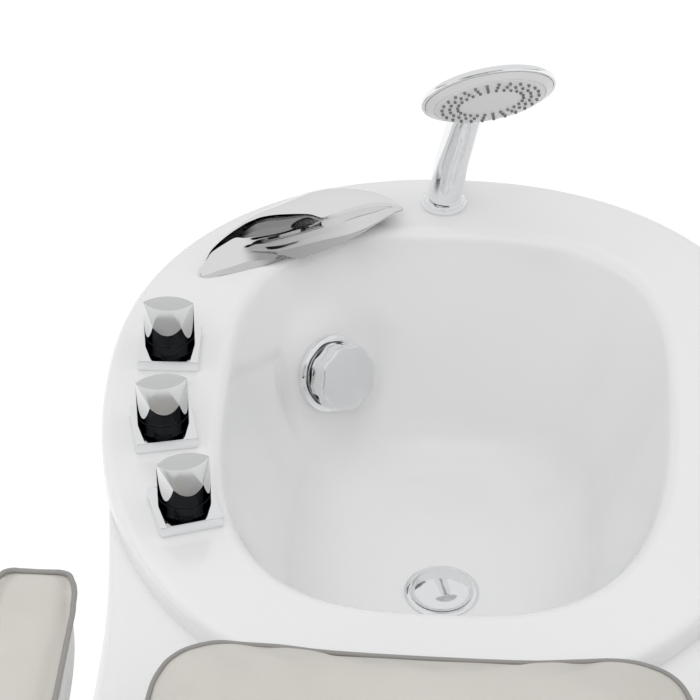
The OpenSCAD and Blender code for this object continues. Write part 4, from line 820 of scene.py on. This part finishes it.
# ---- Overflow, drain knob and waste ---------------------------------------------------
# A chromed ring on the basin's wall with a dark gap, and in it an eight-lobed cast knob that
# turns the stopper's cable. The knob's domed face is finely brushed, its sides polished.
bezel = turned("overflow_ring", overflow_place, (
    (28, 5), (41.5, 5), (42, 5.6), (42, 9.6), (41.5, 11.2), (40, 12.5), (37.8, 13), (34.5, 13),
    (32.2, 12.1), (30, 10.2), (28, 10)), loop=True)
finish_piece(bezel, "base", "chrome", chrome, "overflow_bezel")

lobes_radius, knob_low, knob_high, dome, knob_round = 0.0365, 0.017, 0.041, 0.260, 0.0022
scoop, scoop_reach, lobe_pitch, outline_points = 0.060, lobes_radius + 0.058, math.radians(45), 160

def lobed(inset, z):
    """Ring of the knob's outline, moved in, at a height over the wall."""
    ring = []
    for i in range(outline_points):
        a = 2 * math.pi * i / outline_points
        off = (a - lobe_pitch / 2) % lobe_pitch
        off = min(off, lobe_pitch - off)
        inner = (scoop_reach * math.cos(off)
                 - math.sqrt(scoop ** 2 - (scoop_reach * math.sin(off)) ** 2))
        r = min(lobes_radius, inner) - inset
        ring.append(Vector((r * math.cos(a), r * math.sin(a), z)))
    return ring

def on_dome(inset):
    """The same ring on the knob's domed face."""
    return [Vector((p.x, p.y, knob_high - dome + math.sqrt(dome ** 2 - p.x ** 2 - p.y ** 2)))
            for p in lobed(inset, 0)]

rings = revolved(((0.006, -0.017), (0.006, knob_low - 0.002), (0.0305, knob_low - 0.002),
                  (0.0305, knob_low)), outline_points)
rings += [lobed(0.0016, knob_low), lobed(0.0005, knob_low + 0.0004), lobed(0.0, knob_low + 0.0014)]
for k in range(6):
    turn = math.radians(18 * k)
    below = Vector((0, 0, knob_round * (1 - math.sin(turn))))
    rings.append([point - below for point in on_dome(knob_round * (1 - math.cos(turn)))])
rings += [on_dome(inset) for inset in (0.005, 0.010, 0.016, 0.022, 0.028, 0.0325)]
drain_knob = drawn("drain_lobed_knob", rings)
side_screw = (overflow_place @ Matrix.Rotation(math.radians(170), 4, "Z")
              @ Matrix.Translation((0.020, 0, knob_low + 0.008))
              @ Matrix.Rotation(math.pi / 2, 4, "Y"))
brushed = paint("brushed_chrome", (0.80, 0.81, 0.82), 0.22, 1.0)
drain_knob.data.materials.append(chrome)
drain_knob.data.materials.append(brushed)
for face in drain_knob.data.polygons:
    if face.normal.z > 0.75 and face.center.z > knob_high - 0.004:
        face.material_index = 1
drain_knob.data.transform(overflow_place)
cut_round(drain_knob, side_screw, 0.004, 0.0, 0.030)
smoothed(28)
finish_piece(drain_knob, "drain_knob", "chrome", None, "drain_knob")
screw = turned("drain_knob_set_screw", side_screw, (
    (0.1, 0.5), (1.95, 0.5), (1.95, 9.5), (1.7, 9.8), (1, 9.8), (1, 7.5), (0.1, 7.5)), count=24)
finish_piece(screw, "drain_knob", "dark_chrome", black_chrome_and_painted_reflection, "drain_knob_screw")

flange = turned("waste_ring", drain_place, (
    (23.1, -44), (27, -44), (27, -14.2), (40, -14.2), (40, -6.2), (27.2, -6.2), (27.2, 0.1),
    (38.5, 0.1), (39, 0.6), (38.6, 1.6), (37.2, 2.6), (35.8, 3), (30, 3), (28.8, 2.6),
    (23.2, -0.8)), loop=True)
finish_piece(flange, "base", "chrome", chrome, "waste_flange")
stopper = turned("drain_stopper_cap", drain_place, (
    (0.1, -42), (4, -42), (4, 3.3), (32, 3.3), (32.8, 3.8), (33, 4.6), (32.8, 5.8), (32, 6.8),
    (30, 7.9), (26, 9), (20, 9.8), (12, 10.2), (0.1, 10.3)), sharp=40)
finish_piece(stopper, "stopper", "chrome", chrome, "drain_stopper")

# ---- Jet button -------------------------------------------------------------------------
# A domed push button in a turned and polished ring on the rim. Air pressure in its bellows
# switches the foot jet, and it moves by 3 mm.
button_place = placed(-0.283, 0.060, rim_z)
button_ring = turned("button_ring", button_place, (
    (12.2, -36), (13.5, -44), (13.5, -14.2), (19, -14.2), (19, -6.2), (13.7, -6.2), (13.7, 0.1),
    (19.7, 0.1), (20, 0.5), (20, 1.8), (19.2, 3.2), (17.8, 4.4), (16, 5), (12.8, 5),
    (12.2, 4.4)), loop=True)
finish_piece(button_ring, "base", "chrome", chrome, "button_bezel")
button = turned("jet_push_button", button_place, (
    (0.1, -18), (12, -18), (12, 6.8), (11.7, 7.6), (10.5, 8.1), (8, 8.6), (4, 8.9),
    (0.1, 9)), sharp=40)
finish_piece(button, "jet_button", "chrome", chrome, "jet_button")

# ---- Seat cushions and back cushions -----------------------------------------------------
# Foam pads in soft, light grey leather. Each cover is sewn from a face, a side band and a
# flat bottom, blown up by its filling, with channels stitched across it and piping round its face.
leather = paint("light_grey_leather", (0.8, 0.8, 0.8), 0.42)
leather.node_tree.nodes["Principled BSDF"].inputs["Specular IOR Level"].default_value = 0.4
clouded(leather, 9.0, 5.0, (0.60, 0.575, 0.535), (0.66, 0.635, 0.595))
grained(leather, 0.25, 0.0006, "TexVoronoi", "Distance", "DISTANCE_TO_EDGE", Scale=620.0)
piping_leather = paint("grey_piping", (0.30, 0.29, 0.28), 0.45)
thread = paint("grey_thread", (0.42, 0.41, 0.39), 0.8)
side_draw = 0.018

def pad_outline(half, inset, count=96):
    """Plan of a pad: round corners, and sides that draw in a little between them."""
    ring = []
    for x, y in squircle(half[0] - inset, half[1] - inset, 5.5, count):
        u, v = x / half[0], y / half[1]
        ring.append((x * (1 - side_draw * (1 - v * v) * u * u),
                     y * (1 - side_draw * (1 - u * u) * v * v)))
    return ring

def pad_blank(name, half, edge, rise, shrink):
    """The pad's foam before the cover is blown up: a low cushion with a flat bottom."""
    profile = [(0.016, 0.0), (0.008, 0.001), (0.0035, 0.005), (0.0005, 0.014), (0.0, edge * 0.5),
               (0.0005, edge - 0.014), (0.004, edge - 0.006), (0.010, edge - 0.001)]
    rings = [level(pad_outline(half, inset + shrink), z, 0.0) for inset, z in profile]
    top = pad_outline(half, 0.010 + shrink)
    for s in (0.94, 0.86, 0.74, 0.58, 0.40, 0.22, 0.08):
        rings.append([Vector((s * x, s * y, edge + rise * (1 - s ** 2.4))) for x, y in top])
    return drawn(name, rings)

blow_frames = 20

def blown_up(piece, voxel, cap, pressure=4.0):
    """Swells the cover with a short cloth simulation, its bottom held and its swelling capped."""
    only(piece)
    piece.data.remesh_voxel_size = voxel
    bpy.ops.object.voxel_remesh()
    start = [v.co.copy() for v in piece.data.vertices]
    held = piece.vertex_groups.new(name="held")
    held.add([v.index for v in piece.data.vertices if v.co.z < 0.004], 1.0, "REPLACE")
    cloth = piece.modifiers.new("cloth", "CLOTH")
    cloth.settings.vertex_group_mass = "held"
    cloth.settings.quality = 6
    cloth.settings.mass = 0.4
    cloth.settings.tension_stiffness = 25
    cloth.settings.compression_stiffness = 25
    cloth.settings.shear_stiffness = 8
    cloth.settings.bending_stiffness = 4
    cloth.settings.use_pressure = True
    cloth.settings.uniform_pressure_force = pressure
    cloth.settings.effector_weights.gravity = 0
    cloth.point_cache.frame_start = 1
    cloth.point_cache.frame_end = blow_frames
    for step in range(1, blow_frames + 1):
        bpy.context.scene.frame_set(step)
    bpy.ops.object.modifier_apply(modifier=cloth.name)
    piece.vertex_groups.clear()
    bpy.context.scene.frame_set(1)
    for vertex, before in zip(piece.data.vertices, start):
        moved = vertex.co - before
        if moved.length > cap:
            vertex.co = before + moved * (cap / moved.length)
    applied(piece, "SMOOTH", factor=0.5, iterations=6)
    applied(piece, "SUBSURF", levels=1, render_levels=1)

def fitted(piece, half, height):
    """Presses the pad back to the width, length and height that its cover is cut to."""
    wide = half[0] / max(abs(v.co.x) for v in piece.data.vertices)
    long = half[1] / max(abs(v.co.y) for v in piece.data.vertices)
    low = min(v.co.z for v in piece.data.vertices)
    tall = height / (max(v.co.z for v in piece.data.vertices) - low)
    for v in piece.data.vertices:
        v.co = Vector((v.co.x * wide, v.co.y * long, (v.co.z - low) * tall))

def channelled(piece, half, edge, seams, depth, pinch=0.0065, puff=0.0022):
    """Draws the face down along each stitched seam and lets the filling stand up between them."""
    low = edge * 0.45
    for v in piece.data.vertices:
        if v.co.z > low:
            share = ease((v.co.z - low) / low)
            fade = 0.25 + 0.75 * ease((half[0] - abs(v.co.x)) / 0.030)
            near = min(abs(v.co.y - s * half[1]) for s in seams)
            dip = depth * (math.exp(-(near / pinch) ** 1.5)
                           + 0.35 * math.exp(-(near / (3.2 * pinch)) ** 2))
            swell = puff * (1 - math.exp(-(near / 0.03) ** 2))
            v.co.z += share * fade * (swell - dip)

def surface_tree(piece):
    """The pad's skin, to find points on."""
    return BVHTree.FromPolygons([v.co for v in piece.data.vertices],
                                [tuple(p.vertices) for p in piece.data.polygons])

def piping_along(name, points, radius):
    """A torus whose sections are laid along a closed run of points: a sewn-in cord."""
    sides = 10
    piece = primitive(bpy.ops.mesh.primitive_torus_add, name, major_segments=len(points),
                      minor_segments=sides, major_radius=0.2, minor_radius=radius)
    for i, point in enumerate(points):
        along = (points[(i + 1) % len(points)] - points[i - 1]).normalized()
        side = along.cross(Vector((0, 0, 1))).normalized()
        other = side.cross(along)
        for k, (c, s) in enumerate(circle(sides)):
            piece.data.vertices[sides * i + k].co = point + radius * (c * side + s * other)
    bpy.ops.object.shade_smooth()
    return piece

def piped(piece, half, height, radius=0.0022, inset=0.0015):
    """Piping sewn round the pad where its face meets its side band."""
    skin_tree = surface_tree(piece)
    points = []
    for x, y in pad_outline(half, inset, 220):
        found, normal = skin_tree.find_nearest(Vector((x, y, height)))[:2]
        points.append(found + normal * radius * 0.65)
    evened = []
    for i, point in enumerate(points):
        after, second = points[(i + 1) % len(points)], points[(i + 2) % len(points)]
        evened.append((points[i - 2] + 2 * points[i - 1] + 3 * point + 2 * after + second) / 9)
    return piping_along("piping", evened, radius)

def stitched(piece, half, seams, pitch=0.0068, length=0.0040):
    """Short stitches in each channel, all one size, laid along the seam."""
    skin_tree = surface_tree(piece)
    one = primitive(bpy.ops.mesh.primitive_cylinder_add, "stitch", vertices=6, radius=0.00045,
                    depth=length, rotation=(0, math.pi / 2, 0))
    stitches = []
    reach = int(half[0] * 0.93 / pitch)
    for seam in seams:
        for k in range(-reach, reach + 1):
            above = Vector((k * pitch, seam * half[1], 0.4))
            found, normal = skin_tree.ray_cast(above, Vector((0, 0, -1)))[:2]
            if found:
                slope = math.atan2(-normal.x, normal.z)
                stitches.append(copied(one))
                stitches[-1].data.transform(Matrix.Translation(found + Vector((0, 0, 0.0003)))
                                            @ Matrix.Rotation(-slope, 4, "Y"))
    bpy.data.objects.remove(one)
    return joined("stitches", stitches)

def upholstered(name, place, body, node, half, edge, rise, seams=(), depth=0.0, voxel=0.006,
                cap=0.014):
    """One finished pad with its piping and stitches, on its body, standing for its solid."""
    pad = pad_blank(name, half, edge, rise, 0.006)
    blown_up(pad, voxel, cap)
    fitted(pad, half, edge + rise)
    if seams:
        channelled(pad, half, edge, seams, depth)
    extras = [(piped(pad, half, edge * 0.80), piping_leather, "_piping")]
    if seams:
        extras.append((stitched(pad, half, seams), thread, "_stitches"))
    for piece, material, suffix in extras:
        piece.name = piece.data.name = name + suffix
        piece.data.transform(place)
        finish_piece(piece, body, "leather", material)
    pad.data.transform(place)
    finish_piece(pad, body, "leather", leather, node)
    for polygon in pad.data.polygons:
        polygon.use_smooth = True

back_place = placed(0, 1.010, 0.585) @ Matrix.Rotation(math.radians(-24), 4, "X")
stand = Matrix.Rotation(math.pi / 2, 4, "X")
seat_y, seat_half, pan_top = 0.712, (0.235, 0.216), 0.552
arm_y, arm_top = 0.772, 0.743
sides = (("left", 0.300), ("right", -0.300))
upholstered("seat_pad", placed(0, seat_y, pan_top), "seat", "seat_cushion", seat_half,
            0.054, 0.014, (-0.5, 0.0, 0.5), 0.007)
upholstered("back_pad", back_place @ Matrix.Translation((0, 0.005, 0.2725)) @ stand, "back",
            "back_cushion", (0.235, 0.2475), 0.058, 0.022, (-0.62, -0.24, 0.14, 0.52), 0.009)
upholstered("headrest_pad", back_place @ Matrix.Translation((0, 0.040, 0.598)) @ stand, "headrest",
            "headrest_cushion", (0.140, 0.062), 0.074, 0.022, voxel=0.004, cap=0.010)
for side, x in sides:
    upholstered("arm_" + side + "_pad", placed(x, arm_y, arm_top), "arm_" + side,
                "arm_pad_" + side, (0.037, 0.170), 0.014, 0.008, voxel=0.003, cap=0.003)

# ---- Armrests, backrest shell and seat pan -------------------------------------------------
# Moulded plastic shells: a boat-shaped arm under each arm pad, a shallow tray behind the
# back cushion, and a pan that the seat cushion is screwed to.
shell_white = paint("grained_white_plastic", (0.74, 0.74, 0.74), 0.38)
grained(shell_white, 0.15, 0.0003, Scale=900.0, Detail=2.0)
pan_grey = paint("dark_grey_plastic", (0.105, 0.11, 0.115), 0.45)

def arm_ring(inset, z, drop):
    """One level of the arm, which rises a little towards its front."""
    return [Vector((x, y + arm_y, z + drop * max(0.0, -y / 0.400) ** 2))
            for x, y in squircle(0.038 - inset, 0.172 - inset, 3.2, 96)]

arm_steps = ((0.028, 0.7010, 0.010), (0.016, 0.7010, 0.010), (0.012, 0.7012, 0.010),
             (0.0075, 0.7028, 0.0095), (0.004, 0.706, 0.009), (0.0016, 0.7105, 0.007),
             (0.0, 0.715, 0.006), (0.0, 0.726, 0.002), (0.0, 0.737, 0.0), (0.0005, 0.7395, 0.0),
             (0.0016, 0.7418, 0.0), (0.003, 0.7429, 0.0), (0.006, arm_top, 0.0),
             (0.020, arm_top, 0.0))
for side, x in sides:
    arm = drawn("arm_" + side + "_shell", [arm_ring(*step) for step in arm_steps])
    arm.data.transform(placed(x, 0, 0))
    pin_hole = (placed(x, 0.915, 0.722)
                @ Matrix.Rotation(math.pi / 2 if side == "right" else -math.pi / 2, 4, "Y"))
    cut_round(arm, pin_hole, 0.0161, 0.004, 0.060)
    smoothed(40)
    finish_piece(arm, "arm_" + side, "panel", shell_white, "armrest_" + side)

def tray_ring(inset, y):
    """One layer of the tray, upright, in the backrest's own place."""
    return [Vector((x, y, z + 0.2675)) for x, z in squircle(0.239 - inset, 0.2525 - inset, 5, 144)]

tray_steps = ((0.044, 0.057), (0.018, 0.050), (0.0095, 0.041), (0.006, 0.032), (0.004, 0.005),
              (0.0006, 0.005), (0.0, 0.0056), (0.0006, 0.018), (0.002, 0.032), (0.004, 0.040),
              (0.008, 0.047), (0.0125, 0.0530), (0.018, 0.057), (0.028, 0.0603), (0.040, 0.062),
              (0.070, 0.062))
tray = drawn("back_tray", [tray_ring(inset, y) for inset, y in tray_steps])
for x in (-0.060, 0.060):
    cut_round(tray, Matrix.Translation((x, 0.026, 0)), 0.014, 0.480, 0.560)
for x in (-0.205, 0.205):
    cut_away(tray, primitive(bpy.ops.mesh.primitive_cube_add, "notch", size=1.0,
                             location=(x, 0.029, 0.040), scale=(0.090, 0.058, 0.080)))
only(tray)
tray.data.transform(back_place)
smoothed(40)
finish_piece(tray, "back", "panel", shell_white, "back_shell")

def pan_ring(inset, z):
    return level(squircle(seat_half[0] - inset, seat_half[1] - inset, 6, 144), z, seat_y + tub_y)

pan = drawn("seat_pan_moulding", [pan_ring(*step) for step in (
    (0.050, 0.544), (0.016, 0.544), (0.011, 0.5442), (0.007, 0.5448), (0.004, 0.5462),
    (0.0024, 0.548), (0.002, 0.550), (0.002, pan_top), (0.050, pan_top))])
smoothed(40)
finish_piece(pan, "seat", "grey_plastic", pan_grey, "seat_pan")

# ---- Steelwork, levers and what is inside the base ------------------------------------------
# These keep their machined or welded shape: black powder-coated tube and plate, zinc-plated
# channels and feet, turned brass, drawn copper pipe and moulded drain parts.
powder = paint("black_powder_coat", (0.028, 0.028, 0.030), 0.48)
grained(powder, 0.2, 0.0002, Scale=1100.0)
zinc = paint("zinc_plate", (0.62, 0.63, 0.65), 0.34, 1.0)
turned_brass = paint("turned_brass", (0.78, 0.60, 0.30), 0.25, 1.0)
drawn_copper = paint("drawn_copper", (0.80, 0.47, 0.33), 0.24, 1.0)
finishes = {
    powder: ("base_frame", "base_posts", "seat_frame", "back_frame", "arm_brackets"),
    zinc: ("levelling_feet", "panel_screws", "seat_rails", "seat_runners", "jet_motor"),
    turned_brass: ("hot_valve", "diverter_valve", "cold_valve", "spout_shank"),
    drawn_copper: ("hot_pipe", "cold_pipe", "mixed_pipe"),
    pan_grey: ("overflow_elbow", "waste_pipe", "jet_housing", "cable_gland", "recline_lever"),
    shell_white: ("service_panel",),
    spray_white: ("jet_cover", "jet_impeller"),
    chrome: ("slide_bar", "headrest_posts"),
    black_chrome_and_painted_reflection: ("recliner_discs",),
}
for material, names in finishes.items():
    for name in names:
        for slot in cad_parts[name].material_slots:
            slot.material = material
